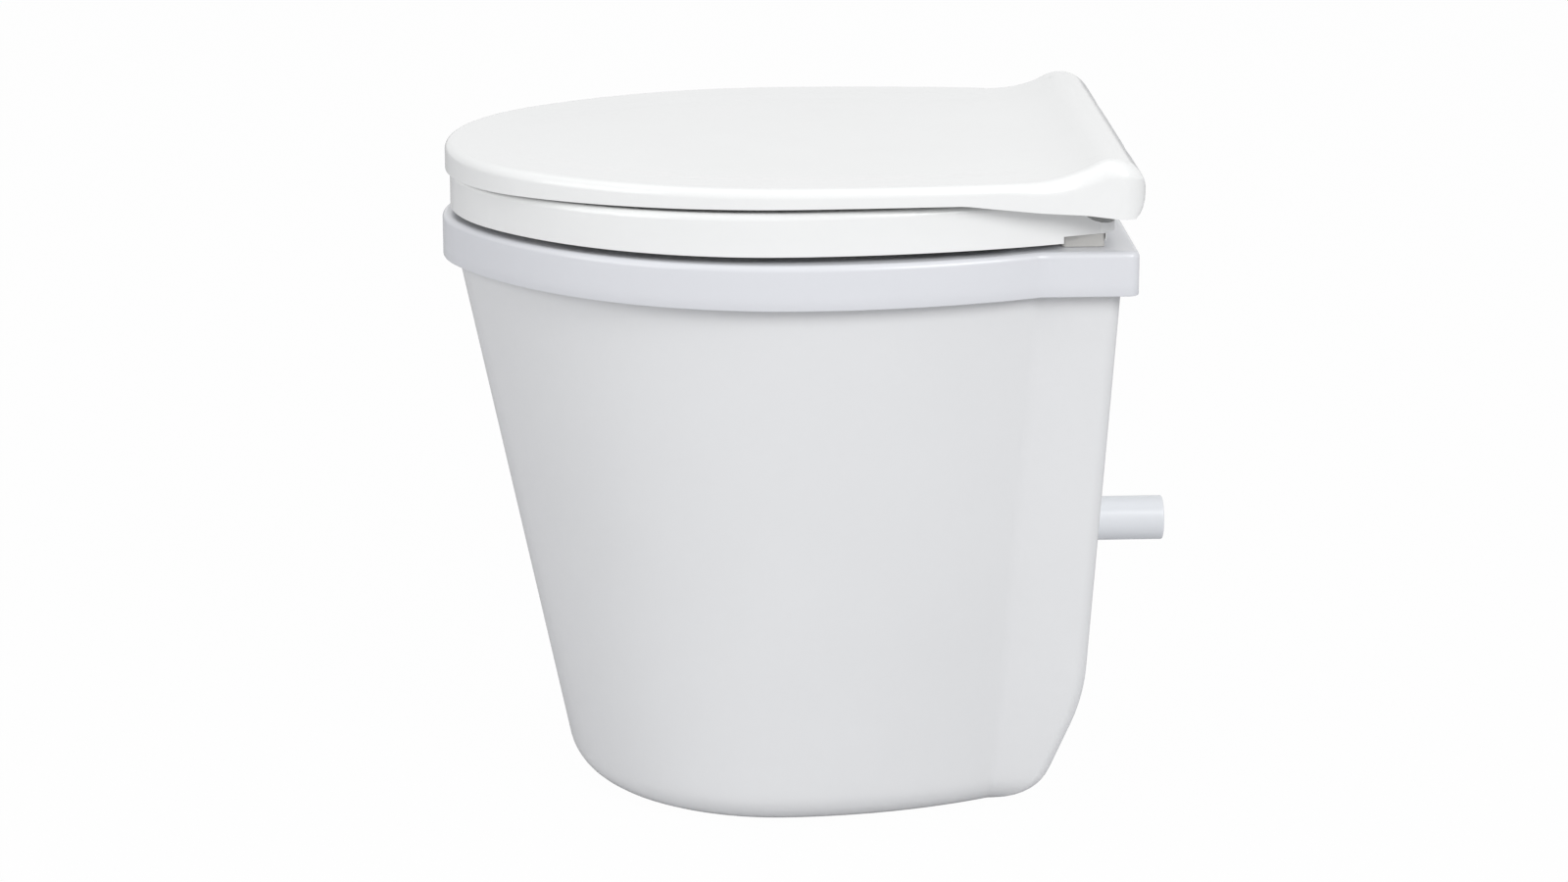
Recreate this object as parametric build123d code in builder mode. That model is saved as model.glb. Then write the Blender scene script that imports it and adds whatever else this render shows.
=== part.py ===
"""Waterless urine-diverting toilet: tapered casing, rim deck with a divided bowl, seat, lid, waste outlet.

Millimetres. X runs across, -Y is the front, +Y the rear and +Z up.
The origin is on the floor, on the centreline.
A place along the toilet is given as a reach: how far it lies ahead of the rim's rear edge.
"""
from build123d import *
import os
from dataclasses import dataclass, replace
from math import asin, cos, degrees, hypot, radians, sin, sqrt

os.makedirs("parts", exist_ok=True)

# Where the rim's rear edge lies, behind the origin
REAR_Y = 225.0

# Clearances: a running or push fit, a gap between curved faces, and how far a cutter runs past
FIT = 0.05
FREE = 0.3
PAST = 60.0

# Turns in degrees, and the share of its drop that a drooping nose has reached halfway along
QUARTER_TURN = 90.0
HALF_QUARTER_TURN = 45.0
MIDWAY_DROP = 0.25

# Rim deck
RIM_TOP = 410.0
RIM_BAND = 31.0
RIM_WALL = 4.0
DECK_THICKNESS = 4.0
RIM_LENGTH = 476.0
RIM_WIDTH = 375.2
RIM_REAR_WIDTH = 313.6
RIM_NOSE_RADIUS = 96.3
RIM_WIDEST_REACH = 231.5
RIM_PANEL_REACH = 67.0
RIM_CORNER_RADIUS = 6.0
RIM_EDGE_RADIUS = 3.6

# Casing
CASING_INSET = 10.6
CASING_WALL = 4.0
CASING_FLOOR = 5.0
FLANGE_THICKNESS = 4.0
FLANGE_CLEARANCE = 0.6
GASKET_THICKNESS = 2.2
GASKET_MARGIN = 3.0
BASE_REACH = 386.4
BASE_WIDTH = 315.0
BASE_REAR_WIDTH = 250.0
BASE_NOSE_RADIUS = 190.0
BASE_WIDEST_REACH = 239.8
BASE_PANEL_REACH = 94.7
BASE_BACK_REACH = 33.3
BASE_EDGE_RADIUS = 21.5
KNEE_HEIGHT = 80.0
KNEE_RADIUS = 130.0
HEEL_REACH = 62.8
HEEL_RADIUS = 45.0
FLOOR_HOLE_SPACING_X = 220.0
FLOOR_HOLE_SPACING_Y = 130.0
FLOOR_HOLE_Y = -15.0
FLOOR_HOLE_RADIUS = 3.5

# Outlet pipe, its seal, nut and elbow
OUTLET_HEIGHT = 174.5
OUTLET_RADIUS = 16.0
OUTLET_WALL = 3.0
OUTLET_END = 41.5
OUTLET_EDGE_RADIUS = 1.2
OUTLET_SHANK_RADIUS = 15.0
OUTLET_SHANK_REACH = 49.0
SEAL_WALL = 4.0
SEAL_LIP = 4.0
SEAL_LIP_THICKNESS = 2.5
SEAL_SLOPE_ALLOWANCE = 1.5
LOCKNUT_RADIUS = 24.0
LOCKNUT_THICKNESS = 7.0
LOCKNUT_SIDES = 6
ELBOW_BEND = 24.0
ELBOW_ARM = 20.0
SOCKET_DEPTH = 10.5
SOCKET_WALL = 3.5

# Drain hose and the push-fit cup under the bowl's spigot
HOSE_BORE_RADIUS = 14.05
HOSE_WALL = 2.4
HOSE_OVERLAP = 18.0
HOSE_LEAD = 4.0
HOSE_SIDE_X = 134.0
HOSE_SIDE_END_Y = 40.0
HOSE_REAR_X = 92.0
HOSE_SIDE_DROP = 8.0
HOSE_REAR_DROP = 19.0
HOSE_BENDS = (40.0, 70.0, 150.0, 60.0)
TUBE_WALL = 3.0
CUP_BEND = 32.0
CUP_ARM = 20.0
CUP_TOP = 276.0
CUP_DEPTH = 24.0
CUP_BORE_RADIUS = 18.0
CUP_WALL = 3.0
CUP_FLOOR = 3.0
CUP_THROAT = 13.0
STAY_WIDTH = 16.0
STAY_HEIGHT = 16.0
COUPLING_SEAL_HEIGHT = 6.0
COUPLING_SEAL_DROP = 2.0
CLAMP_WIDTH = 10.0
CLAMP_THICKNESS = 2.0
CLAMP_HEAD = 8.0
CLAMP_OFFSET = 3.0
CLIP_WIDTH = 12.0
CLIP_THICKNESS = 3.0
CLIP_FRONT_Y = -42.0
CLIP_REAR_Y = 0.0

# Bowl insert with its divider, spigot and strainer
BOWL_Y = -30.0
BOWL_TOP_HALF_X = 112.0
BOWL_TOP_HALF_Y = 144.0
BOWL_LOW_HALF_X = 84.0
BOWL_LOW_HALF_Y = 122.0
BOWL_BOTTOM = 272.0
BOWL_WALL = 3.0
BOWL_FLANGE_WIDTH = 16.0
BOWL_FLANGE_THICKNESS = 2.5
BOWL_CLEARANCE = 1.5
BASIN_FLOOR = 300.0
BASIN_FLOOR_THICKNESS = 4.0
BASIN_RISE = 26.0
BASIN_RUN = 120.0
DIVIDER_Y = -45.0
DIVIDER_TOP = 372.0
DRAIN_Y = -125.0
DRAIN_RADIUS = 12.0
SPIGOT_RADIUS = 15.0
SPIGOT_BOTTOM = 258.0
STRAINER_RADIUS = 20.0
STRAINER_THICKNESS = 2.0
STRAINER_HOLE_RADIUS = 1.5
STRAINER_HOLE_COUNT = 10
STRAINER_HOLE_CIRCLE = 8.5
STRAINER_KNOB_RADIUS = 3.0
STRAINER_KNOB_HEIGHT = 9.0
SCREW_ANGLE = 48.0
SCREW_RADIUS = 2.0
SCREW_LENGTH = 12.0
SCREW_HEAD_RADIUS = 4.0
SCREW_HEAD_HEIGHT = 2.0
SCREW_SLOT_WIDTH = 1.0
SCREW_SLOT_LENGTH = 5.0
SCREW_SLOT_DEPTH = 1.2

# Container, its tray and its bail
CONTAINER_Y = 14.0
CONTAINER_TOP_RADIUS = 113.0
CONTAINER_FOOT_RADIUS = 96.0
CONTAINER_HEIGHT = 250.0
CONTAINER_WALL = 2.5
CONTAINER_LIP = 3.0
CONTAINER_LIP_HEIGHT = 6.0
TRAY_THICKNESS = 3.0
TRAY_LIP_HEIGHT = 8.0
TRAY_LIP_WIDTH = 3.0
TRAY_CLEARANCE = 1.2
BAIL_WIRE_RADIUS = 2.5
BAIL_DROP = 18.0
BAIL_BOW_RADIUS = 132.0
BAIL_BEND = 8.0
EAR_RADIUS = 8.0
EAR_REACH = 7.5
EAR_SKIN = 1.2
GRIP_RADIUS = 7.0
GRIP_ARC = 40.0

# Hinge line, shared by seat and lid
HINGE_REACH = 20.5
HINGE_HEIGHT = 41.5
HINGE_X = 77.5
POST_WIDTH = 22.0
POST_BARREL_RADIUS = 9.5
POST_BASE_FRONT = 75.0
POST_BASE_BACK = 46.0
POST_BASE_THICKNESS = 4.5
POST_STEM_REACH = 51.5
POST_STEM_THICKNESS = 8.0
POST_LEAN = 20.0
HINGE_GAP = 1.0
PIN_RADIUS = 4.0
PIN_CAP_RADIUS = 6.5
PIN_CAP_THICKNESS = 2.5
BOLT_REACH = 64.5
BOLT_RADIUS = 4.0
BOLT_HEAD_RADIUS = 6.5
BOLT_HEAD_HEIGHT = 3.5
BOLT_LENGTH = 24.0
BOLT_CLEARANCE = 0.3
WASHER_RADIUS = 9.0
WASHER_THICKNESS = 1.6
WING_HUB_RADIUS = 7.0
WING_HUB_HEIGHT = 9.0
WING_SPAN = 32.0
WING_HEIGHT = 7.0
WING_THICKNESS = 3.0

# Seat
SEAT_GAP = 5.0
SEAT_THICKNESS = 30.0
SEAT_NOSE_DROP = 4.5
SEAT_NOSE_SETBACK = 5.7
SEAT_SIDE_SETBACK = 6.6
SEAT_REAR_WIDTH = 282.0
SEAT_NOSE_RADIUS = 134.0
SEAT_WIDEST_REACH = 241.0
SEAT_PANEL_REACH = 26.0
SEAT_BACK_REACH = 15.0
SEAT_CORNER_RADIUS = 10.0
SEAT_EDGE_RADIUS = 4.5
SEAT_WALL = 3.5
SEAT_HOLE_HALF_X = 108.0
SEAT_HOLE_HALF_Y = 131.0
SEAT_SOLID_REACH = 92.0
SEAT_RECESS = 6.5
SEAT_LIP_DROP = 6.0
SEAT_NOTCH_REACH = 76.0
SEAT_EAR_THICKNESS = 8.0
SEAT_EAR_RADIUS = 8.5
BUFFER_HEIGHT = 9.5
BUFFER_LENGTH = 29.0
BUFFER_WIDTH = 15.0
BUFFER_MARGIN = 2.5
BUFFER_GAP = 0.3
FRONT_BUFFER_X = 76.0
FRONT_BUFFER_REACH = 404.0
REAR_BUFFER_X = 132.0
REAR_BUFFER_REACH = 37.0

# Lid
LID_GAP = 2.6
LID_THICKNESS = 13.5
LID_WALL = 3.0
LID_NOSE_DROP = 5.4
LID_NOSE_SETBACK = 2.5
LID_SIDE_SETBACK = 5.6
LID_REAR_WIDTH = 334.0
LID_NOSE_RADIUS = 145.0
LID_WIDEST_REACH = 225.0
LID_PANEL_REACH = 42.0
LID_CORNER_RADIUS = 18.0
LID_EDGE_RADIUS = 5.0
LID_KINK_REACH = 122.0
LID_DROP = 11.3
ROLL_RADIUS = 23.5
ROLL_BLEND_RADIUS = 90.0
LID_REAR_REACH = 64.0
ROLL_LIP_REACH = 26.0
TROUGH_CLEARANCE = 1.0
LID_EAR_THICKNESS = 8.0
LID_EAR_RADIUS = 9.0
NOTCH_ANGLE = 41.0
LID_BUFFER_RADIUS = 6.5
LID_BUFFER_X = 146.0
LID_BUFFER_FRONT_X = 84.0
LID_BUFFER_FRONT_REACH = 398.0
LID_BUFFER_GAP = 0.3

# Heights and places that follow from the sizes above
RIM_BOTTOM = RIM_TOP - RIM_BAND
DECK_UNDERSIDE = RIM_TOP - DECK_THICKNESS
CASING_TOP = DECK_UNDERSIDE - GASKET_THICKNESS - FREE
FLANGE_INSET = RIM_WALL + FLANGE_CLEARANCE
HINGE_Y = REAR_Y - HINGE_REACH
HINGE_Z = RIM_TOP + HINGE_HEIGHT
SEAT_BOTTOM = RIM_TOP + SEAT_GAP
SEAT_TOP = SEAT_BOTTOM + SEAT_THICKNESS
LID_BOTTOM = SEAT_TOP + LID_GAP
LID_TOP = LID_BOTTOM + LID_THICKNESS
TROUGH_RADIUS = ROLL_RADIUS + TROUGH_CLEARANCE
TRAY_TOP = CASING_FLOOR + TRAY_THICKNESS
CONTAINER_TOP = TRAY_TOP + CONTAINER_HEIGHT
BAIL_Z = CONTAINER_TOP - BAIL_DROP
HOSE_RADIUS = HOSE_BORE_RADIUS + HOSE_WALL
TUBE_RADIUS = HOSE_BORE_RADIUS - FIT
TUBE_BORE_RADIUS = TUBE_RADIUS - TUBE_WALL
CUP_RADIUS = CUP_BORE_RADIUS + CUP_WALL
CUP_BOTTOM = CUP_TOP - CUP_DEPTH
ARM_Z = CUP_BOTTOM - CUP_THROAT - CUP_BEND
SHANK_Y = REAR_Y - OUTLET_SHANK_REACH
ELBOW_Y = SHANK_Y - ELBOW_BEND
SEAL_HOLE_RADIUS = OUTLET_SHANK_RADIUS + FIT + SEAL_WALL
SIDES = (-1, 1)


@dataclass
class Plan:
    """Outline seen from above: nose arc, side arc and rear side arc on each side, then a flat rear panel."""

    reach: float
    half: float
    rear_half: float
    nose: float
    widest: float
    panel: float
    back: float

    def inset(self, gap):
        """The same outline with every edge moved inwards by a gap."""
        return replace(
            self,
            reach=self.reach - gap,
            half=self.half - gap,
            rear_half=self.rear_half - gap,
            nose=self.nose - gap,
            back=self.back + gap,
        )

    def side_radius(self):
        """Radius of the side arc that is tangent to the nose arc and upright at the widest place."""
        across = self.reach - self.nose - self.widest
        return (self.half**2 + across**2 - self.nose**2) / (2 * (self.half - self.nose))

    def rear_radius(self):
        """Radius of the arc from the widest place to the start of the flat rear panel."""
        length = self.widest - self.panel
        narrowing = self.half - self.rear_half
        return (length**2 + narrowing**2) / (2 * narrowing)


RIM = Plan(
    RIM_LENGTH,
    RIM_WIDTH / 2,
    RIM_REAR_WIDTH / 2,
    RIM_NOSE_RADIUS,
    RIM_WIDEST_REACH,
    RIM_PANEL_REACH,
    0.0,
)
WAIST = RIM.inset(CASING_INSET)
BASE = Plan(
    BASE_REACH,
    BASE_WIDTH / 2,
    BASE_REAR_WIDTH / 2,
    BASE_NOSE_RADIUS,
    BASE_WIDEST_REACH,
    BASE_PANEL_REACH,
    BASE_BACK_REACH,
)
SEAT = Plan(
    RIM_LENGTH - SEAT_NOSE_SETBACK,
    RIM_WIDTH / 2 - SEAT_SIDE_SETBACK,
    SEAT_REAR_WIDTH / 2,
    SEAT_NOSE_RADIUS,
    SEAT_WIDEST_REACH,
    SEAT_PANEL_REACH,
    SEAT_BACK_REACH,
)
LID = Plan(
    RIM_LENGTH - LID_NOSE_SETBACK,
    RIM_WIDTH / 2 - LID_SIDE_SETBACK,
    LID_REAR_WIDTH / 2,
    LID_NOSE_RADIUS,
    LID_WIDEST_REACH,
    LID_PANEL_REACH,
    HINGE_REACH - ROLL_RADIUS,
)


def at(reach):
    """Y of a place that lies a reach ahead of the rim's rear edge."""
    return REAR_Y - reach


def trace(plan):
    """Draws a plan's outline with the lines and arcs of one side and their mirror image."""
    side = plan.side_radius()
    lean = degrees(asin((side - plan.half) / (side - plan.nose)))
    rear = plan.rear_radius()
    corner = (plan.rear_half, at(plan.back))
    nose = JernArc((0, at(plan.reach)), (1, 0), plan.nose, lean)
    flank = JernArc(nose @ 1, nose % 1, side, QUARTER_TURN - lean)
    run = JernArc(flank @ 1, flank % 1, rear, degrees(asin((plan.widest - plan.panel) / rear)))
    Line(run @ 1, corner)
    Line(corner, (0, at(plan.back)))
    mirror(about=Plane.YZ)


def block(height_from, height_to, plan, corner=0.0):
    """Upright block with a plan's outline, its two rear corners rounded."""
    with BuildPart() as body:
        with BuildSketch(Plane.XY.offset(height_from)) as face:
            with BuildLine():
                trace(plan)
            make_face()
            if corner > 0:
                rear = face.vertices().filter_by_position(Axis.Y, at(plan.back) - FIT, at(plan.back) + FIT)
                fillet(rear.filter_by(lambda v: abs(v.X) > FIT), corner)
        extrude(amount=height_to - height_from)
    return body.part


def wall_y(height):
    """Y of the casing's outer rear wall at a height above the knee."""
    share = height / RIM_BOTTOM
    return at(BASE_BACK_REACH * (1 - share) + CASING_INSET * share)


def near(vertices, y, z):
    """The vertices of a side profile that lie at one place."""
    return vertices.filter_by(lambda v: hypot(v.X - y, v.Y - z) < FIT)


def tub(gap):
    """The casing's outer body, or with a gap the body of its cavity."""
    floor = 0.0 if gap == 0 else CASING_FLOOR
    front = at(RIM_LENGTH + PAST)
    heel = (at(HEEL_REACH) - gap, floor)
    knee = (wall_y(KNEE_HEIGHT) - gap, KNEE_HEIGHT)
    with BuildPart() as body:
        with BuildSketch(Plane.XY):
            with BuildLine():
                trace(BASE.inset(gap))
            make_face()
        with BuildSketch(Plane.XY.offset(RIM_BOTTOM)):
            with BuildLine():
                trace(WAIST.inset(gap))
            make_face()
        loft(ruled=True)
        with BuildSketch(Plane.XY.offset(floor)):
            Rectangle(2 * RIM_LENGTH, 2 * RIM_LENGTH)
        extrude(amount=RIM_TOP, mode=Mode.INTERSECT)
        foot = body.faces().sort_by(Axis.Z)[0].edges()
        rear = foot.sort_by(Axis.Y)[-1].center().Y
        fillet(foot.filter_by(lambda e: e.center().Y < rear - FIT), BASE_EDGE_RADIUS - gap)
        with BuildSketch(Plane.YZ) as profile:
            with BuildLine():
                Polyline(
                    (front, floor),
                    heel,
                    knee,
                    (wall_y(RIM_BOTTOM) - gap, RIM_BOTTOM),
                    (wall_y(RIM_BOTTOM) - gap, RIM_TOP),
                    (front, RIM_TOP),
                    close=True,
                )
            make_face()
            fillet(near(profile.vertices(), *heel), HEEL_RADIUS - gap)
            fillet(near(profile.vertices(), *knee), KNEE_RADIUS - gap)
        extrude(amount=RIM_WIDTH, both=True, mode=Mode.INTERSECT)
    return body.part


TUB_CAVITY = tub(CASING_WALL)

# Casing: tapered tub with a flange that carries the rim deck
with BuildPart() as casing:
    add(tub(0))
    add(block(RIM_BOTTOM, CASING_TOP, WAIST))
    add(block(CASING_TOP - FLANGE_THICKNESS, CASING_TOP, RIM.inset(FLANGE_INSET)))
    add(TUB_CAVITY, mode=Mode.SUBTRACT)
    add(block(RIM_BOTTOM, RIM_TOP, WAIST.inset(CASING_WALL)), mode=Mode.SUBTRACT)
    with BuildSketch(Plane.XY):
        with Locations((0, FLOOR_HOLE_Y)):
            with GridLocations(FLOOR_HOLE_SPACING_X, FLOOR_HOLE_SPACING_Y, 2, 2):
                Circle(FLOOR_HOLE_RADIUS)
    extrude(amount=CASING_FLOOR, mode=Mode.SUBTRACT)
    with BuildSketch(Plane.XZ.offset(-SHANK_Y)):
        with Locations((0, OUTLET_HEIGHT)):
            Circle(SEAL_HOLE_RADIUS)
    extrude(amount=-PAST, mode=Mode.SUBTRACT)
casing.part.label = "casing"
export_step(casing.part, "parts/casing.step")

# Soft ring between the casing's flange and the deck
with BuildPart() as rim_gasket:
    add(block(CASING_TOP, CASING_TOP + GASKET_THICKNESS, RIM.inset(FLANGE_INSET + GASKET_MARGIN)))
    add(block(CASING_TOP, CASING_TOP + GASKET_THICKNESS, WAIST), mode=Mode.SUBTRACT)
rim_gasket.part.label = "rim_gasket"
export_step(rim_gasket.part, "parts/rim_gasket.step")

# Screw places on the bowl's flange, and hinge bolt places
SCREW_PLACES = [
    (
        side * (BOWL_TOP_HALF_X + BOWL_FLANGE_WIDTH / 2) * cos(radians(SCREW_ANGLE)),
        BOWL_Y + end * (BOWL_TOP_HALF_Y + BOWL_FLANGE_WIDTH / 2) * sin(radians(SCREW_ANGLE)),
    )
    for side in SIDES
    for end in SIDES
]
BOLT_PLACES = [(side * HINGE_X, at(BOLT_REACH)) for side in SIDES]

# Rim deck: overhanging band and the flat top that carries bowl and hinges
with BuildPart() as rim_deck:
    add(block(RIM_BOTTOM, RIM_TOP, RIM, RIM_CORNER_RADIUS))
    fillet(rim_deck.faces().sort_by(Axis.Z)[-1].edges(), RIM_EDGE_RADIUS)
    add(block(RIM_BOTTOM, DECK_UNDERSIDE, RIM.inset(RIM_WALL)), mode=Mode.SUBTRACT)
    with BuildSketch(Plane.XY.offset(RIM_TOP)):
        with Locations((0, BOWL_Y)):
            Ellipse(BOWL_TOP_HALF_X + BOWL_CLEARANCE, BOWL_TOP_HALF_Y + BOWL_CLEARANCE)
        with Locations(*SCREW_PLACES):
            Circle(SCREW_RADIUS + FIT)
        with Locations(*BOLT_PLACES):
            Circle(BOLT_RADIUS + BOLT_CLEARANCE)
    extrude(amount=-RIM_BAND, mode=Mode.SUBTRACT)
rim_deck.part.label = "rim_deck"
export_step(rim_deck.part, "parts/rim_deck.step")


def bowl_shell(gap):
    """Tapered oval from the flange down to the bowl's lower edge, moved inwards by a gap."""
    with BuildPart() as body:
        with BuildSketch(Plane.XY.offset(RIM_TOP + BOWL_FLANGE_THICKNESS)):
            with Locations((0, BOWL_Y)):
                Ellipse(BOWL_TOP_HALF_X - gap, BOWL_TOP_HALF_Y - gap)
        with BuildSketch(Plane.XY.offset(BOWL_BOTTOM)):
            with Locations((0, BOWL_Y)):
                Ellipse(BOWL_LOW_HALF_X - gap, BOWL_LOW_HALF_Y - gap)
        loft(ruled=True)
    return body.part


# Basin: the sloping floor ahead of the divider, inside the bowl's wall
BASIN_TOP = BASIN_FLOOR + STRAINER_THICKNESS + BASIN_RISE
with BuildPart() as basin:
    add(bowl_shell(BOWL_WALL))
    with BuildSketch(Plane.YZ):
        with BuildLine():
            Polyline(
                (at(RIM_LENGTH), BASIN_FLOOR - BASIN_FLOOR_THICKNESS),
                (DIVIDER_Y, BASIN_FLOOR - BASIN_FLOOR_THICKNESS),
                (DIVIDER_Y, BASIN_TOP),
                (at(RIM_LENGTH), BASIN_TOP),
                close=True,
            )
        make_face()
    extrude(amount=RIM_WIDTH, both=True, mode=Mode.INTERSECT)
    with BuildSketch(Plane.XY.offset(BASIN_FLOOR + STRAINER_THICKNESS)):
        with Locations((0, DRAIN_Y)):
            Circle(STRAINER_RADIUS + FREE)
    with BuildSketch(Plane.XY.offset(BASIN_TOP)):
        with Locations((0, DRAIN_Y)):
            Circle(STRAINER_RADIUS + FREE + BASIN_RUN)
    loft(ruled=True, mode=Mode.SUBTRACT)

# Bowl insert: flange, oval wall, basin with a drain spigot, and an open chute behind the divider
with BuildPart() as bowl_insert:
    with BuildSketch(Plane.XY.offset(RIM_TOP)):
        with Locations((0, BOWL_Y)):
            Ellipse(BOWL_TOP_HALF_X + BOWL_FLANGE_WIDTH, BOWL_TOP_HALF_Y + BOWL_FLANGE_WIDTH)
    extrude(amount=BOWL_FLANGE_THICKNESS)
    fillet(bowl_insert.faces().sort_by(Axis.Z)[-1].edges(), BOWL_FLANGE_THICKNESS / 2)
    add(bowl_shell(0.0))
    add(bowl_shell(BOWL_WALL), mode=Mode.SUBTRACT)
    add(basin.part)
    with BuildPart(mode=Mode.PRIVATE) as divider:
        add(bowl_shell(BOWL_WALL))
        with BuildSketch(Plane.YZ):
            with BuildLine():
                Polyline(
                    (DIVIDER_Y, BOWL_BOTTOM),
                    (DIVIDER_Y + BOWL_WALL, BOWL_BOTTOM),
                    (DIVIDER_Y + BOWL_WALL, DIVIDER_TOP),
                    (DIVIDER_Y, DIVIDER_TOP),
                    close=True,
                )
            make_face()
        extrude(amount=RIM_WIDTH, both=True, mode=Mode.INTERSECT)
    add(divider.part)
    with BuildSketch(Plane.XY.offset(SPIGOT_BOTTOM)):
        with Locations((0, DRAIN_Y)):
            Circle(SPIGOT_RADIUS)
    extrude(amount=BASIN_FLOOR - SPIGOT_BOTTOM)
    with BuildSketch(Plane.XY.offset(SPIGOT_BOTTOM)):
        with Locations((0, DRAIN_Y)):
            Circle(DRAIN_RADIUS)
    extrude(amount=BASIN_FLOOR - SPIGOT_BOTTOM, mode=Mode.SUBTRACT)
    with BuildSketch(Plane.XY.offset(BASIN_FLOOR)):
        with Locations((0, DRAIN_Y)):
            Circle(STRAINER_RADIUS + FREE)
    extrude(amount=STRAINER_THICKNESS, mode=Mode.SUBTRACT)
    with BuildSketch(Plane.XY.offset(RIM_TOP)):
        with Locations(*SCREW_PLACES):
            Circle(SCREW_RADIUS + FIT)
    extrude(amount=BOWL_FLANGE_THICKNESS, mode=Mode.SUBTRACT)
bowl_insert.part.label = "bowl_insert"
export_step(bowl_insert.part, "parts/bowl_insert.step")

# Strainer: pierced disc with a knob
with BuildPart() as strainer:
    with BuildSketch(Plane.XY.offset(BASIN_FLOOR)):
        with Locations((0, DRAIN_Y)):
            Circle(STRAINER_RADIUS)
            with PolarLocations(STRAINER_HOLE_CIRCLE, STRAINER_HOLE_COUNT):
                Circle(STRAINER_HOLE_RADIUS, mode=Mode.SUBTRACT)
    extrude(amount=STRAINER_THICKNESS)
    with BuildSketch(Plane.XY.offset(BASIN_FLOOR + STRAINER_THICKNESS)):
        with Locations((0, DRAIN_Y)):
            Circle(STRAINER_KNOB_RADIUS)
    extrude(amount=STRAINER_KNOB_HEIGHT)
    fillet(strainer.faces().sort_by(Axis.Z)[-1].edges(), STRAINER_KNOB_RADIUS / 2)
strainer.part.label = "strainer"
export_step(strainer.part, "parts/strainer.step")

# Bowl screws: slotted heads on the flange
FLANGE_TOP = RIM_TOP + BOWL_FLANGE_THICKNESS
with BuildPart() as bowl_screws:
    with BuildSketch(Plane.XY.offset(FLANGE_TOP)):
        with Locations(*SCREW_PLACES):
            Circle(SCREW_RADIUS)
    extrude(amount=-SCREW_LENGTH)
    with BuildSketch(Plane.XY.offset(FLANGE_TOP)):
        with Locations(*SCREW_PLACES):
            Circle(SCREW_HEAD_RADIUS)
    extrude(amount=SCREW_HEAD_HEIGHT)
    with BuildSketch(Plane.XY.offset(FLANGE_TOP + SCREW_HEAD_HEIGHT)):
        with Locations(*SCREW_PLACES):
            Rectangle(SCREW_SLOT_LENGTH, SCREW_SLOT_WIDTH)
            Rectangle(SCREW_SLOT_WIDTH, SCREW_SLOT_LENGTH)
    extrude(amount=-SCREW_SLOT_DEPTH, mode=Mode.SUBTRACT)
bowl_screws.part.label = "bowl_screws"
export_step(bowl_screws.part, "parts/bowl_screws.step")


def across(places, radius, length, plane_x):
    """Round bars along X, each starting at its own side of the centreline and growing outwards."""
    with BuildPart() as bars:
        for side in SIDES:
            with BuildSketch(Plane.YZ.offset(side * plane_x)):
                with Locations(*places):
                    Circle(radius)
            extrude(amount=side * length)
    return bars.part


HINGE = [(HINGE_Y, HINGE_Z)]
POST_IN = HINGE_X - POST_WIDTH / 2
POST_OUT = HINGE_X + POST_WIDTH / 2
SEAT_EAR_IN = POST_IN - HINGE_GAP
SEAT_EAR_OUT = POST_OUT + HINGE_GAP
LID_EAR_IN = SEAT_EAR_IN - SEAT_EAR_THICKNESS - HINGE_GAP
LID_EAR_OUT = SEAT_EAR_OUT + SEAT_EAR_THICKNESS + HINGE_GAP
PIN_IN = LID_EAR_IN - LID_EAR_THICKNESS - HINGE_GAP
PIN_OUT = LID_EAR_OUT + LID_EAR_THICKNESS + HINGE_GAP

# Hinge posts: foot plate, upright stem and an arm that reaches the hinge line from the front
STEM_Y = at(POST_STEM_REACH)
with BuildPart() as hinge_posts:
    for side in SIDES:
        with BuildSketch(Plane.YZ.offset(side * POST_IN)) as outline:
            with BuildLine():
                Polyline(
                    (at(POST_BASE_FRONT), RIM_TOP),
                    (at(POST_BASE_BACK), RIM_TOP),
                    (at(POST_BASE_BACK), RIM_TOP + POST_BASE_THICKNESS),
                    (at(POST_BASE_FRONT), RIM_TOP + POST_BASE_THICKNESS),
                    close=True,
                )
            make_face()
            reach = HINGE_Y - STEM_Y
            arm_z = HINGE_Z - reach * sin(radians(POST_LEAN)) / cos(radians(POST_LEAN))
            half = POST_STEM_THICKNESS / 2
            with BuildLine():
                Polyline(
                    (STEM_Y - half, RIM_TOP),
                    (STEM_Y + half, RIM_TOP),
                    (STEM_Y + half, arm_z - half * sin(radians(POST_LEAN))),
                    (HINGE_Y + half * sin(radians(POST_LEAN)), HINGE_Z - half * cos(radians(POST_LEAN))),
                    (HINGE_Y - half * sin(radians(POST_LEAN)), HINGE_Z + half * cos(radians(POST_LEAN))),
                    (STEM_Y - half, arm_z + half),
                    close=True,
                )
            make_face()
            with Locations(*HINGE):
                Circle(POST_BARREL_RADIUS)
                Circle(PIN_RADIUS + FIT, mode=Mode.SUBTRACT)
        extrude(amount=side * POST_WIDTH)
    with BuildSketch(Plane.XY.offset(RIM_TOP)):
        with Locations(*BOLT_PLACES):
            Circle(BOLT_RADIUS + BOLT_CLEARANCE)
    extrude(amount=POST_BASE_THICKNESS, mode=Mode.SUBTRACT)
hinge_posts.part.label = "hinge_posts"
export_step(hinge_posts.part, "parts/hinge_posts.step")

# Hinge pins and the caps on their ends
with BuildPart() as hinge_pins:
    add(across(HINGE, PIN_RADIUS, PIN_OUT - PIN_IN, PIN_IN))
hinge_pins.part.label = "hinge_pins"
export_step(hinge_pins.part, "parts/hinge_pins.step")

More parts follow.
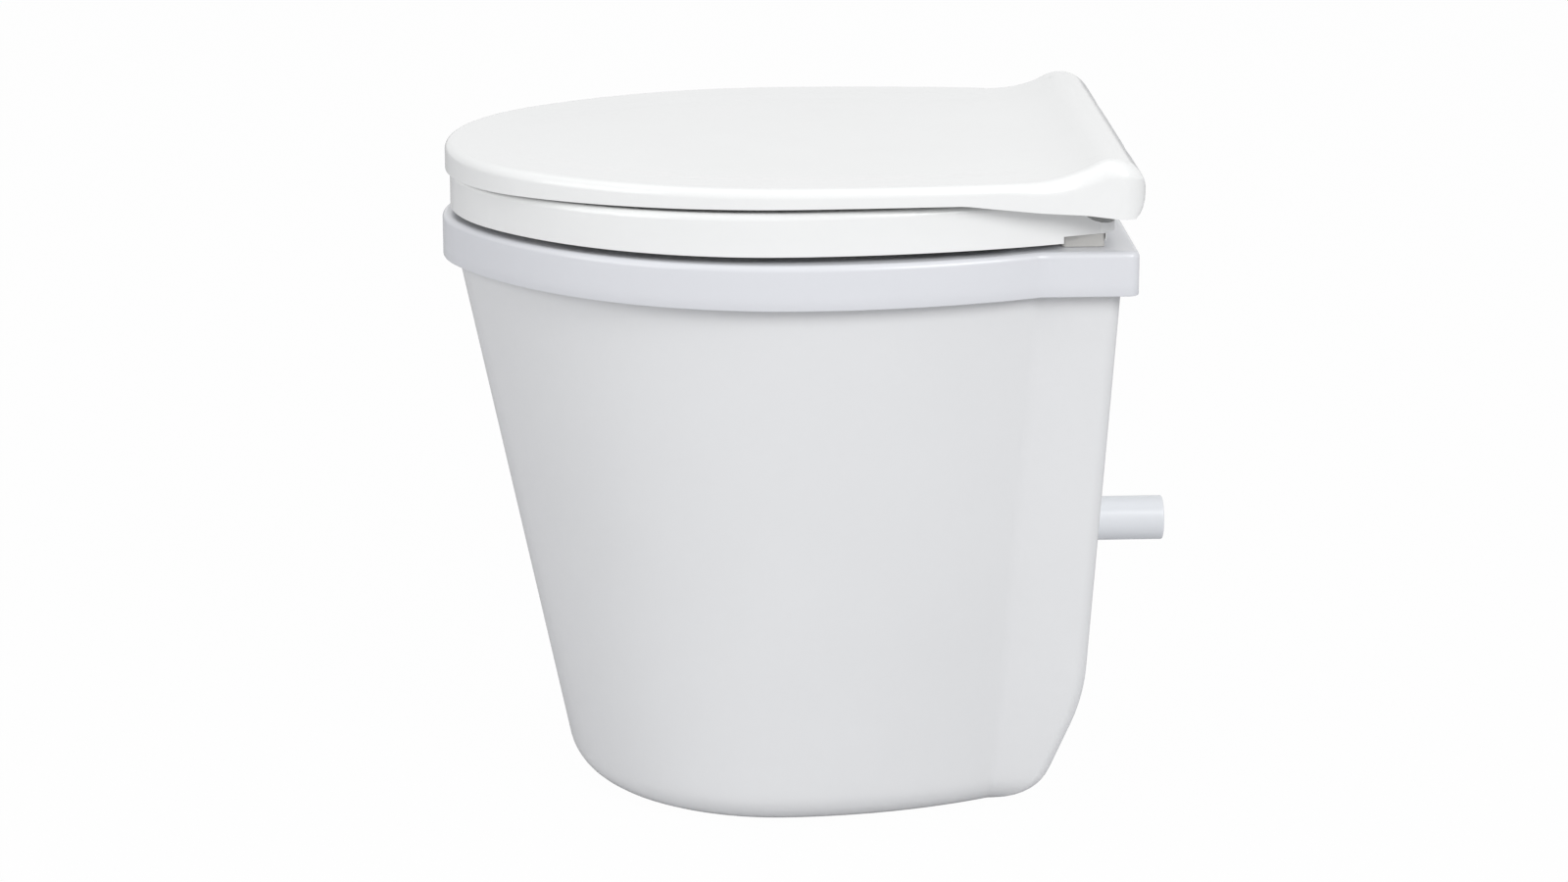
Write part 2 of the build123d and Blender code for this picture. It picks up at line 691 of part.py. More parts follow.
with BuildPart() as pin_caps:
    add(across(HINGE, PIN_CAP_RADIUS, PIN_CAP_THICKNESS, PIN_OUT))
    add(across(HINGE, PIN_CAP_RADIUS, -PIN_CAP_THICKNESS, PIN_IN))
    fillet(pin_caps.edges().filter_by(GeomType.CIRCLE).group_by(Axis.X)[0], PIN_CAP_THICKNESS / 2)
    fillet(pin_caps.edges().filter_by(GeomType.CIRCLE).group_by(Axis.X)[-1], PIN_CAP_THICKNESS / 2)
pin_caps.part.label = "pin_caps"
export_step(pin_caps.part, "parts/pin_caps.step")


def upright(places, radius, height_from, height_to):
    """Round upright bars at places seen from above."""
    with BuildPart() as bars:
        with BuildSketch(Plane.XY.offset(height_from)):
            with Locations(*places):
                Circle(radius)
        extrude(amount=height_to - height_from)
    return bars.part


# Hinge bolts through post and deck, with washers and wing nuts below
FOOT_TOP = RIM_TOP + POST_BASE_THICKNESS
WASHER_BOTTOM = DECK_UNDERSIDE - WASHER_THICKNESS
WING_BOTTOM = WASHER_BOTTOM - WING_HUB_HEIGHT
with BuildPart() as hinge_bolts:
    add(upright(BOLT_PLACES, BOLT_HEAD_RADIUS, FOOT_TOP, FOOT_TOP + BOLT_HEAD_HEIGHT))
    fillet(hinge_bolts.faces().group_by(Axis.Z)[-1].edges(), BOLT_HEAD_HEIGHT / 2)
    add(upright(BOLT_PLACES, BOLT_RADIUS, FOOT_TOP - BOLT_LENGTH, FOOT_TOP))
hinge_bolts.part.label = "hinge_bolts"
export_step(hinge_bolts.part, "parts/hinge_bolts.step")

with BuildPart() as hinge_washers:
    add(upright(BOLT_PLACES, WASHER_RADIUS, WASHER_BOTTOM, DECK_UNDERSIDE))
    add(upright(BOLT_PLACES, BOLT_RADIUS + FIT, WASHER_BOTTOM, DECK_UNDERSIDE), mode=Mode.SUBTRACT)
hinge_washers.part.label = "hinge_washers"
export_step(hinge_washers.part, "parts/hinge_washers.step")

with BuildPart() as wing_nuts:
    add(upright(BOLT_PLACES, WING_HUB_RADIUS, WING_BOTTOM, WASHER_BOTTOM))
    with BuildSketch(Plane.XY.offset(WING_BOTTOM)):
        with Locations(*BOLT_PLACES):
            SlotOverall(WING_SPAN, WING_THICKNESS)
    extrude(amount=WING_HEIGHT)
    add(upright(BOLT_PLACES, BOLT_RADIUS + FIT, WING_BOTTOM, WASHER_BOTTOM), mode=Mode.SUBTRACT)
wing_nuts.part.label = "wing_nuts"
export_step(wing_nuts.part, "parts/wing_nuts.step")


def plate(x_from, x_to, outline_radius, foot_z):
    """Upright plates round the hinge line on both sides, each reaching down or up to a foot height."""
    with BuildPart() as plates:
        for side in SIDES:
            with BuildSketch(Plane.YZ.offset(side * x_from)):
                with Locations(*HINGE):
                    Circle(outline_radius)
                with Locations((HINGE_Y, (HINGE_Z + foot_z) / 2)):
                    Rectangle(2 * outline_radius, abs(HINGE_Z - foot_z))
            extrude(amount=side * (x_to - x_from))
    return plates.part


# Seat buffer blocks, front and rear
BUFFER_TOP = RIM_TOP + BUFFER_GAP + BUFFER_HEIGHT
with BuildPart() as seat_buffers:
    with BuildSketch(Plane.XY.offset(RIM_TOP + BUFFER_GAP)) as pads:
        for side in SIDES:
            with Locations((side * FRONT_BUFFER_X, at(FRONT_BUFFER_REACH))):
                Rectangle(BUFFER_LENGTH, BUFFER_WIDTH)
            with Locations((side * REAR_BUFFER_X, at(REAR_BUFFER_REACH))):
                Rectangle(BUFFER_WIDTH, BUFFER_LENGTH)
        fillet(pads.vertices(), BUFFER_MARGIN)
    extrude(amount=BUFFER_HEIGHT)
seat_buffers.part.label = "seat_buffers"
export_step(seat_buffers.part, "parts/seat_buffers.step")


def seat_side(gap):
    """The seat's side view carried across the width, its top moved down by a gap."""
    front = at(SEAT.reach + PAST)
    kink = at(LID_KINK_REACH)
    fall = LID_DROP / (HINGE_Y - kink)
    with BuildPart() as body:
        with BuildSketch(Plane.YZ):
            with BuildLine():
                ThreePointArc(
                    (front, SEAT_TOP - SEAT_NOSE_DROP - gap),
                    ((front + kink) / 2, SEAT_TOP - SEAT_NOSE_DROP * MIDWAY_DROP - gap),
                    (kink, SEAT_TOP - gap),
                )
                Polyline(
                    (kink, SEAT_TOP - gap),
                    (REAR_Y, SEAT_TOP - fall * (REAR_Y - kink) - gap),
                    (REAR_Y, HINGE_Z - TROUGH_RADIUS - SEAT_LIP_DROP),
                    (at(SEAT_BACK_REACH + SEAT_RECESS), HINGE_Z - TROUGH_RADIUS - SEAT_LIP_DROP),
                    (at(SEAT_BACK_REACH + SEAT_RECESS), SEAT_BOTTOM),
                    (front, SEAT_BOTTOM),
                    (front, SEAT_TOP - SEAT_NOSE_DROP - gap),
                )
            make_face()
        extrude(amount=RIM_WIDTH, both=True)
    return body.part


def seat_hole(gap):
    """The seat's opening, made wider by a gap."""
    with BuildPart() as body:
        with BuildSketch(Plane.XY.offset(SEAT_BOTTOM)):
            with Locations((0, BOWL_Y)):
                Ellipse(SEAT_HOLE_HALF_X + gap, SEAT_HOLE_HALF_Y + gap)
        extrude(amount=SEAT_THICKNESS)
    return body.part


def bars(places, size_x, size_y, height_from, height_to):
    """Upright square-cornered bars centred on places seen from above."""
    with BuildPart() as body:
        with BuildSketch(Plane.XY.offset(height_from)):
            with Locations(*places):
                Rectangle(size_x, size_y)
        extrude(amount=height_to - height_from)
    return body.part


FRONT_BUFFERS = [(side * FRONT_BUFFER_X, at(FRONT_BUFFER_REACH)) for side in SIDES]
REAR_BUFFERS = [(side * (REAR_BUFFER_X + PAST / 2), at(REAR_BUFFER_REACH)) for side in SIDES]
NOTCHES = [(side * HINGE_X, at(SEAT_NOTCH_REACH) + PAST) for side in SIDES]
SOLID_REAR = [(0, at(SEAT_SOLID_REACH) + PAST)]
BOSS_LENGTH = BUFFER_LENGTH + 2 * BUFFER_MARGIN
BOSS_WIDTH = BUFFER_WIDTH + 2 * BUFFER_MARGIN
POCKET_LENGTH = BUFFER_LENGTH + 2 * FREE
POCKET_WIDTH = BUFFER_WIDTH + 2 * FREE

# Room inside the seat: between skirt and opening, ahead of the solid rear, round the front buffer bosses
with BuildPart() as seat_room:
    add(block(SEAT_BOTTOM, SEAT_TOP, SEAT.inset(SEAT_WALL)))
    add(seat_side(SEAT_WALL), mode=Mode.INTERSECT)
    add(seat_hole(SEAT_WALL), mode=Mode.SUBTRACT)
    add(bars(SOLID_REAR, RIM_WIDTH, 2 * PAST, SEAT_BOTTOM, SEAT_TOP), mode=Mode.SUBTRACT)
    add(bars(FRONT_BUFFERS, BOSS_LENGTH, BOSS_WIDTH, SEAT_BOTTOM, SEAT_TOP), mode=Mode.SUBTRACT)

# Seat: ring with a hollow underside, a solid rear with notches for the posts, and ears on the hinge line
EAR_FOOT = HINGE_Z - TROUGH_RADIUS - SEAT_WALL
with BuildPart() as seat:
    add(block(SEAT_BOTTOM, SEAT_TOP, SEAT, SEAT_CORNER_RADIUS))
    add(seat_side(0.0), mode=Mode.INTERSECT)
    crown = seat.edges().filter_by(lambda e: e.center().Z > SEAT_TOP - SEAT_NOSE_DROP - FREE)
    fillet(crown.filter_by(lambda e: e.center().Y < at(LID_KINK_REACH) - FREE), SEAT_EDGE_RADIUS)
    add(seat_hole(0.0), mode=Mode.SUBTRACT)
    add(seat_room.part, mode=Mode.SUBTRACT)
    add(bars(FRONT_BUFFERS, POCKET_LENGTH, POCKET_WIDTH, SEAT_BOTTOM, BUFFER_TOP), mode=Mode.SUBTRACT)
    add(bars(REAR_BUFFERS, BUFFER_WIDTH + PAST, POCKET_LENGTH, SEAT_BOTTOM, BUFFER_TOP), mode=Mode.SUBTRACT)
    add(across(HINGE, TROUGH_RADIUS, RIM_WIDTH, 0.0), mode=Mode.SUBTRACT)
    add(bars(NOTCHES, POST_WIDTH + 2 * HINGE_GAP, 2 * PAST, SEAT_BOTTOM, SEAT_TOP), mode=Mode.SUBTRACT)
    add(plate(SEAT_EAR_IN - SEAT_EAR_THICKNESS, SEAT_EAR_IN, SEAT_EAR_RADIUS, EAR_FOOT))
    add(plate(SEAT_EAR_OUT, SEAT_EAR_OUT + SEAT_EAR_THICKNESS, SEAT_EAR_RADIUS, EAR_FOOT))
    add(across(HINGE, PIN_RADIUS + FIT, PIN_OUT - PIN_IN, PIN_IN), mode=Mode.SUBTRACT)
seat.part.label = "seat"
export_step(seat.part, "parts/seat.step")


def lid_side(gap):
    """The lid's side view carried across the width, or with a gap its cavity, open below."""
    front = at(LID.reach + PAST)
    kink = at(LID_KINK_REACH)
    top = LID_TOP - gap
    with BuildPart() as body:
        with BuildSketch(Plane.YZ) as face:
            with BuildLine():
                if gap == 0:
                    ThreePointArc(
                        (front, LID_BOTTOM - LID_NOSE_DROP),
                        ((front + kink) / 2, LID_BOTTOM - LID_NOSE_DROP * MIDWAY_DROP),
                        (kink, LID_BOTTOM),
                    )
                    Polyline(
                        (kink, LID_BOTTOM),
                        (HINGE_Y, LID_BOTTOM - LID_DROP),
                        (HINGE_Y, top),
                        (front, top),
                        (front, LID_BOTTOM - LID_NOSE_DROP),
                    )
                else:
                    Polyline(
                        (front, RIM_TOP),
                        (at(ROLL_LIP_REACH), RIM_TOP),
                        (at(ROLL_LIP_REACH), top),
                        (front, top),
                        close=True,
                    )
            make_face()
            with Locations(*HINGE):
                Circle(ROLL_RADIUS - gap)
            if gap == 0:
                step = sqrt(ROLL_RADIUS**2 - (top - HINGE_Z) ** 2)
                fillet(near(face.vertices(), HINGE_Y - step, top), ROLL_BLEND_RADIUS)
        extrude(amount=RIM_WIDTH, both=True)
    return body.part


LID_BUFFER_PLACES = [(side * LID_BUFFER_X, BOWL_Y) for side in SIDES]
LID_FRONT_BUFFER_PLACES = [(side * LID_BUFFER_FRONT_X, at(LID_BUFFER_FRONT_REACH)) for side in SIDES]

# Lid: shell with a skirt, a rear roll round the hinge line, ears inside it and notches for the posts
NOTCH_IN = LID_EAR_IN
NOTCH_OUT = LID_EAR_OUT
EAR_TOP = HINGE_Z + ROLL_RADIUS - LID_WALL / 2
ROLL_AREA = [(0, at(LID_REAR_REACH) + PAST)]
with BuildPart() as lid_notch:
    for side in SIDES:
        with BuildSketch(Plane.YZ.offset(side * NOTCH_IN)):
            with BuildLine():
                Polyline(
                    (HINGE_Y, HINGE_Z),
                    (HINGE_Y + PAST * cos(radians(NOTCH_ANGLE)), HINGE_Z + PAST * sin(radians(NOTCH_ANGLE))),
                    (HINGE_Y + PAST, RIM_TOP),
                    (HINGE_Y - ROLL_RADIUS, RIM_TOP),
                    (HINGE_Y - ROLL_RADIUS, HINGE_Z),
                    close=True,
                )
            make_face()
        extrude(amount=side * (NOTCH_OUT - NOTCH_IN))

with BuildPart() as lid:
    add(block(RIM_TOP, LID_TOP, LID, LID_CORNER_RADIUS))
    fillet(lid.faces().sort_by(Axis.Z)[-1].edges(), LID_EDGE_RADIUS)
    with BuildPart(mode=Mode.PRIVATE) as lid_rear:
        add(block(RIM_TOP, HINGE_Z + PAST, LID, LID_CORNER_RADIUS))
        add(bars(ROLL_AREA, RIM_WIDTH, 2 * PAST, RIM_TOP, HINGE_Z + PAST), mode=Mode.INTERSECT)
    add(lid_rear.part)
    add(lid_side(0.0), mode=Mode.INTERSECT)
    with BuildPart(mode=Mode.PRIVATE) as lid_room:
        add(block(RIM_TOP, HINGE_Z + PAST, LID.inset(LID_WALL), LID_CORNER_RADIUS - LID_WALL))
        add(lid_side(LID_WALL), mode=Mode.INTERSECT)
    add(lid_room.part, mode=Mode.SUBTRACT)
    add(plate(LID_EAR_IN - LID_EAR_THICKNESS, LID_EAR_IN, LID_EAR_RADIUS, EAR_TOP))
    add(plate(LID_EAR_OUT, LID_EAR_OUT + LID_EAR_THICKNESS, LID_EAR_RADIUS, EAR_TOP))
    add(lid_notch.part, mode=Mode.SUBTRACT)
    add(across(HINGE, PIN_RADIUS + FIT, PIN_OUT - PIN_IN, PIN_IN), mode=Mode.SUBTRACT)
lid.part.label = "lid"
export_step(lid.part, "parts/lid.step")

# Buffers under the lid
with BuildPart() as lid_buffers:
    add(upright(LID_BUFFER_PLACES, LID_BUFFER_RADIUS, SEAT_TOP + LID_BUFFER_GAP, LID_TOP - LID_WALL))
    add(upright(LID_FRONT_BUFFER_PLACES, LID_BUFFER_RADIUS, SEAT_TOP + LID_BUFFER_GAP, LID_TOP - LID_WALL))
lid_buffers.part.label = "lid_buffers"
export_step(lid_buffers.part, "parts/lid_buffers.step")


def along_y(radius, y_from, y_to):
    """Round bar along Y on the outlet's line."""
    with BuildPart() as body:
        with BuildSketch(Plane.XZ.offset(-y_from)):
            with Locations((0, OUTLET_HEIGHT)):
                Circle(radius)
        extrude(amount=y_from - y_to)
    return body.part


# Outlet pipe with a slimmer shank through the wall
WALL_Y = wall_y(OUTLET_HEIGHT)
LIP_OUT = WALL_Y + SEAL_LIP_THICKNESS + SEAL_SLOPE_ALLOWANCE
LIP_IN = WALL_Y - CASING_WALL - SEAL_LIP_THICKNESS - SEAL_SLOPE_ALLOWANCE
with BuildPart() as outlet_pipe:
    add(along_y(OUTLET_SHANK_RADIUS, SHANK_Y, LIP_OUT))
    add(along_y(OUTLET_RADIUS, LIP_OUT, REAR_Y + OUTLET_END))
    add(along_y(OUTLET_SHANK_RADIUS - OUTLET_WALL, SHANK_Y, REAR_Y + OUTLET_END), mode=Mode.SUBTRACT)
    fillet(outlet_pipe.faces().sort_by(Axis.Y)[-1].edges(), OUTLET_EDGE_RADIUS)
outlet_pipe.part.label = "outlet_pipe"
export_step(outlet_pipe.part, "parts/outlet_pipe.step")

# Wall seal: collar in the wall's hole with a lip on both faces
with BuildPart() as wall_seal:
    add(along_y(SEAL_HOLE_RADIUS + SEAL_LIP, LIP_IN, LIP_OUT))
    add(along_y(OUTLET_SHANK_RADIUS + FIT, LIP_IN, LIP_OUT), mode=Mode.SUBTRACT)
    add(casing.part, mode=Mode.SUBTRACT)
wall_seal.part.label = "wall_seal"
export_step(wall_seal.part, "parts/wall_seal.step")

# Nut that holds the pipe against the wall
with BuildPart() as pipe_locknut:
    with BuildSketch(Plane.XZ.offset(-LIP_IN)):
        with Locations((0, OUTLET_HEIGHT)):
            RegularPolygon(LOCKNUT_RADIUS, LOCKNUT_SIDES)
            Circle(OUTLET_SHANK_RADIUS + FIT, mode=Mode.SUBTRACT)
    extrude(amount=LOCKNUT_THICKNESS)
pipe_locknut.part.label = "pipe_locknut"
export_step(pipe_locknut.part, "parts/pipe_locknut.step")


def pipe_run(radius, curves):
    """Round bar swept along curves that start where the first one starts."""
    start = curves[0] @ 0
    with BuildPart() as body:
        with BuildSketch(Plane(origin=start, z_dir=curves[0] % 0)):
            Circle(radius)
        sweep(path=Wire(curves))
    return body.part


# Outlet elbow: socket on the pipe's shank, bend and hose tail
ELBOW_LINE = [
    RadiusArc((0, SHANK_Y, OUTLET_HEIGHT), (ELBOW_BEND, ELBOW_Y, OUTLET_HEIGHT), -ELBOW_BEND),
    Line((ELBOW_BEND, ELBOW_Y, OUTLET_HEIGHT), (ELBOW_BEND + ELBOW_ARM, ELBOW_Y, OUTLET_HEIGHT)),
]
with BuildPart() as outlet_elbow:
    add(pipe_run(TUBE_RADIUS, ELBOW_LINE))
    add(along_y(OUTLET_SHANK_RADIUS + FIT + SOCKET_WALL, SHANK_Y - SOCKET_WALL, SHANK_Y + SOCKET_DEPTH))
    add(pipe_run(TUBE_BORE_RADIUS, ELBOW_LINE), mode=Mode.SUBTRACT)
    add(along_y(OUTLET_SHANK_RADIUS + FIT, SHANK_Y, SHANK_Y + SOCKET_DEPTH), mode=Mode.SUBTRACT)
outlet_elbow.part.label = "outlet_elbow"
export_step(outlet_elbow.part, "parts/outlet_elbow.step")

# Drain elbow: cup under the spigot, bend, hose tail, and a stay to the casing's front wall
DRAIN = [(0, DRAIN_Y)]
BEND_MIDDLE = CUP_BEND * cos(radians(HALF_QUARTER_TURN))
CUP_LINE = [
    Line((0, DRAIN_Y, CUP_BOTTOM), (0, DRAIN_Y, ARM_Z + CUP_BEND)),
    ThreePointArc(
        (0, DRAIN_Y, ARM_Z + CUP_BEND),
        (CUP_BEND - BEND_MIDDLE, DRAIN_Y, ARM_Z + CUP_BEND - BEND_MIDDLE),
        (CUP_BEND, DRAIN_Y, ARM_Z),
    ),
    Line((CUP_BEND, DRAIN_Y, ARM_Z), (CUP_BEND + CUP_ARM, DRAIN_Y, ARM_Z)),
]
with BuildPart() as drain_elbow:
    with BuildSketch(Plane.XY.offset(CUP_TOP - STAY_HEIGHT)):
        with Locations((0, DRAIN_Y - RIM_LENGTH / 2)):
            Rectangle(STAY_WIDTH, RIM_LENGTH)
    extrude(amount=STAY_HEIGHT / 2)
    add(TUB_CAVITY, mode=Mode.INTERSECT)
    add(upright(DRAIN, CUP_RADIUS, CUP_BOTTOM - CUP_FLOOR, CUP_TOP))
    add(pipe_run(TUBE_RADIUS, CUP_LINE))
    add(upright(DRAIN, CUP_BORE_RADIUS, CUP_BOTTOM, CUP_TOP), mode=Mode.SUBTRACT)
    add(pipe_run(TUBE_BORE_RADIUS, CUP_LINE), mode=Mode.SUBTRACT)
drain_elbow.part.label = "drain_elbow"
export_step(drain_elbow.part, "parts/drain_elbow.step")

# Seal in the cup's mouth, round the spigot
SEAL_Z = CUP_TOP - COUPLING_SEAL_DROP
with BuildPart() as coupling_seal:
    add(upright(DRAIN, CUP_BORE_RADIUS, SEAL_Z - COUPLING_SEAL_HEIGHT, SEAL_Z))
    add(upright(DRAIN, SPIGOT_RADIUS + FREE, SEAL_Z - COUPLING_SEAL_HEIGHT, SEAL_Z), mode=Mode.SUBTRACT)
coupling_seal.part.label = "coupling_seal"
export_step(coupling_seal.part, "parts/coupling_seal.step")

# Drain hose: from the cup's tail round the container to the outlet elbow's tail
HOSE_START = CUP_BEND + CUP_ARM - HOSE_OVERLAP
HOSE_END = ELBOW_BEND + ELBOW_ARM - HOSE_OVERLAP
HOSE_POINTS = [
    (HOSE_START, DRAIN_Y, ARM_Z),
    (CUP_BEND + CUP_ARM + HOSE_LEAD, DRAIN_Y, ARM_Z),
    (HOSE_SIDE_X, DRAIN_Y, ARM_Z - HOSE_SIDE_DROP),
    (HOSE_SIDE_X, HOSE_SIDE_END_Y, ARM_Z - HOSE_REAR_DROP),
    (HOSE_REAR_X, ELBOW_Y, OUTLET_HEIGHT),
    (HOSE_END, ELBOW_Y, OUTLET_HEIGHT),
]
HOSE_LINE = FilletPolyline(*HOSE_POINTS, radius=list(HOSE_BENDS))
with BuildPart() as drain_hose:
    add(pipe_run(HOSE_RADIUS, HOSE_LINE.edges()))
    add(pipe_run(HOSE_BORE_RADIUS, HOSE_LINE.edges()), mode=Mode.SUBTRACT)
drain_hose.part.label = "drain_hose"
export_step(drain_hose.part, "parts/drain_hose.step")

# Worm clamps on both hose ends
CLAMP_PLACES = [
    (HOSE_START + CLAMP_OFFSET, DRAIN_Y, ARM_Z),
    (HOSE_END + CLAMP_OFFSET, ELBOW_Y, OUTLET_HEIGHT),
]
with BuildPart() as hose_clamps:
    for place in CLAMP_PLACES:
        with BuildSketch(Plane(origin=place, x_dir=(0, 1, 0), z_dir=(1, 0, 0))):
            Circle(HOSE_RADIUS + FIT + CLAMP_THICKNESS)
            with Locations((0, HOSE_RADIUS + CLAMP_HEAD / 2)):
                Rectangle(2 * CLAMP_HEAD, CLAMP_HEAD)
            Circle(HOSE_RADIUS + FIT, mode=Mode.SUBTRACT)
        extrude(amount=CLAMP_WIDTH)
hose_clamps.part.label = "hose_clamps"
export_step(hose_clamps.part, "parts/hose_clamps.step")

# Clips that hold the hose on the casing's side wall
HOSE_FALL = (HOSE_REAR_DROP - HOSE_SIDE_DROP) / (HOSE_SIDE_END_Y - DRAIN_Y)
with BuildPart() as hose_clips:
    for clip_y in (CLIP_FRONT_Y, CLIP_REAR_Y):
        height = ARM_Z - HOSE_SIDE_DROP - HOSE_FALL * (clip_y - DRAIN_Y)
        hose_plane = Plane(origin=(HOSE_SIDE_X, clip_y, height), x_dir=(1, 0, 0), z_dir=(0, 1, -HOSE_FALL))
        with BuildSketch(hose_plane):
            Circle(HOSE_RADIUS + FREE + CLIP_THICKNESS)
            with Locations((PAST / 2, 0)):
                Rectangle(PAST, HOSE_RADIUS)
            Circle(HOSE_RADIUS + FREE, mode=Mode.SUBTRACT)
        extrude(amount=CLIP_WIDTH)
    add(TUB_CAVITY, mode=Mode.INTERSECT)
hose_clips.part.label = "hose_clips"
export_step(hose_clips.part, "parts/hose_clips.step")


def turned(points):
    """Solid turned round the container's upright axis from radius and height pairs."""
    with BuildPart() as body:
        with BuildSketch(Plane(origin=(0, CONTAINER_Y, 0), x_dir=(1, 0, 0), z_dir=(0, -1, 0))):
            with BuildLine():
                Polyline(*points, close=True)
            make_face()
        revolve(axis=Axis((0, CONTAINER_Y, 0), (0, 0, 1)))
    return body.part


# Container tray: disc on the casing's floor with a ring that centres the container
TRAY_IN = CONTAINER_FOOT_RADIUS + TRAY_CLEARANCE
TRAY_OUT = TRAY_IN + TRAY_LIP_WIDTH
with BuildPart() as container_tray:
    add(
        turned(
            [
                (0, CASING_FLOOR),
                (TRAY_OUT, CASING_FLOOR),
                (TRAY_OUT, TRAY_TOP + TRAY_LIP_HEIGHT),
                (TRAY_IN, TRAY_TOP + TRAY_LIP_HEIGHT),
                (TRAY_IN, TRAY_TOP),
                (0, TRAY_TOP),
            ]
        )
    )
container_tray.part.label = "container_tray"
export_step(container_tray.part, "parts/container_tray.step")

# Container: tapered bucket with a turned-out lip and two ears for the bail
TAPER = (CONTAINER_TOP_RADIUS - CONTAINER_FOOT_RADIUS) / CONTAINER_HEIGHT
LIP_Z = CONTAINER_TOP - CONTAINER_LIP_HEIGHT
FLOOR_Z = TRAY_TOP + CONTAINER_WALL
EAR_WALL = CONTAINER_FOOT_RADIUS + TAPER * (BAIL_Z - TRAY_TOP)
EAR_OUT = EAR_WALL + EAR_REACH
WIRE_IN = EAR_WALL + EAR_SKIN
INSIDE = [
    (0, FLOOR_Z),
    (CONTAINER_FOOT_RADIUS + TAPER * CONTAINER_WALL - CONTAINER_WALL, FLOOR_Z),
    (CONTAINER_TOP_RADIUS - CONTAINER_WALL, CONTAINER_TOP),
    (0, CONTAINER_TOP),
]
PIVOT = [(CONTAINER_Y, BAIL_Z)]
with BuildPart() as container:
    add(
        turned(
            [
                (0, TRAY_TOP),
                (CONTAINER_FOOT_RADIUS, TRAY_TOP),
                (CONTAINER_TOP_RADIUS - TAPER * CONTAINER_LIP_HEIGHT, LIP_Z),
                (CONTAINER_TOP_RADIUS + CONTAINER_LIP, LIP_Z),
                (CONTAINER_TOP_RADIUS + CONTAINER_LIP, CONTAINER_TOP),
                (0, CONTAINER_TOP),
            ]
        )
    )
    add(across(PIVOT, EAR_RADIUS, EAR_OUT - EAR_WALL + CONTAINER_WALL, EAR_WALL - CONTAINER_WALL))
    add(turned(INSIDE), mode=Mode.SUBTRACT)
    add(across(PIVOT, BAIL_WIRE_RADIUS + FIT, EAR_OUT - WIRE_IN, WIRE_IN), mode=Mode.SUBTRACT)
container.part.label = "container"
export_step(container.part, "parts/container.step")

# Bail: wire bow that lies back round the container, its ends in the ears
BOW_Y = CONTAINER_Y + BAIL_BEND
with BuildPart() as bail:
    with BuildLine(Plane.XY.offset(BAIL_Z)) as bow:
        stub = Line((WIRE_IN + FIT, CONTAINER_Y), (BAIL_BOW_RADIUS - BAIL_BEND, CONTAINER_Y))
        corner = JernArc(stub @ 1, (1, 0), BAIL_BEND, QUARTER_TURN)
        JernArc(corner @ 1, (0, 1), BAIL_BOW_RADIUS, QUARTER_TURN)
        mirror(about=Plane.YZ)
    with BuildSketch(Plane(origin=(WIRE_IN + FIT, CONTAINER_Y, BAIL_Z), z_dir=(1, 0, 0))):
        Circle(BAIL_WIRE_RADIUS)
    sweep(path=bow.wires()[0])
bail.part.label = "bail"
export_step(bail.part, "parts/bail.step")

# Grip: tube round the middle of the bow
with BuildPart() as bail_grip:
    with BuildLine(Plane.XY.offset(BAIL_Z)) as grip_line:
        CenterArc((0, BOW_Y), BAIL_BOW_RADIUS, QUARTER_TURN - GRIP_ARC / 2, GRIP_ARC)
    with BuildSketch(Plane(origin=grip_line.line @ 0, z_dir=grip_line.line % 0)):
        Circle(GRIP_RADIUS)
        Circle(BAIL_WIRE_RADIUS + FIT, mode=Mode.SUBTRACT)
    sweep(path=grip_line.line)
bail_grip.part.label = "bail_grip"
export_step(bail_grip.part, "parts/bail_grip.step")
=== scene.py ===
# %% [markdown]
# # A waterless toilet in white plastic
#
# The real object is a dry toilet for a cabin or a camper: a tapered casing, an overhanging rim, a ring seat, a lid
# and a short waste pipe. The solids and the joints come from the CAD frame. This file gives them their smooth
# moulded skins, their finishes, the light and the camera.

import bpy
import numpy as np
from mathutils import Matrix, Vector


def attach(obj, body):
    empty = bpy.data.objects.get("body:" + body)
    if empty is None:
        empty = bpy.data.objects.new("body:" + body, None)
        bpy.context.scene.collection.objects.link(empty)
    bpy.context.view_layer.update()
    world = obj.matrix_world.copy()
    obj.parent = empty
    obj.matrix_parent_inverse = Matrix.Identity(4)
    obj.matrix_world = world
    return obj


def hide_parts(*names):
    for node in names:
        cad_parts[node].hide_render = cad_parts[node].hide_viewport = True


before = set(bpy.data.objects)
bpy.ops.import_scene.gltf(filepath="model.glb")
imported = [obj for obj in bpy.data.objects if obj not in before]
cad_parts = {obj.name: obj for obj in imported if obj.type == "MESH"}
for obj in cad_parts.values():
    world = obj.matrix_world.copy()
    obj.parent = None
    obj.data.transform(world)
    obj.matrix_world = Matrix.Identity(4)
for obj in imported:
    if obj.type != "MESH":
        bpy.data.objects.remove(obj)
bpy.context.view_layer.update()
MM = 0.001

# %% [markdown]
# The camera stands where the photographer stood: a little ahead of the side, about three metres away and a metre
# up, with a long lens. It is placed by its position and its three axes instead of by aiming helpers, because a
# fitted camera is exactly that: a point, a direction and a focal length.

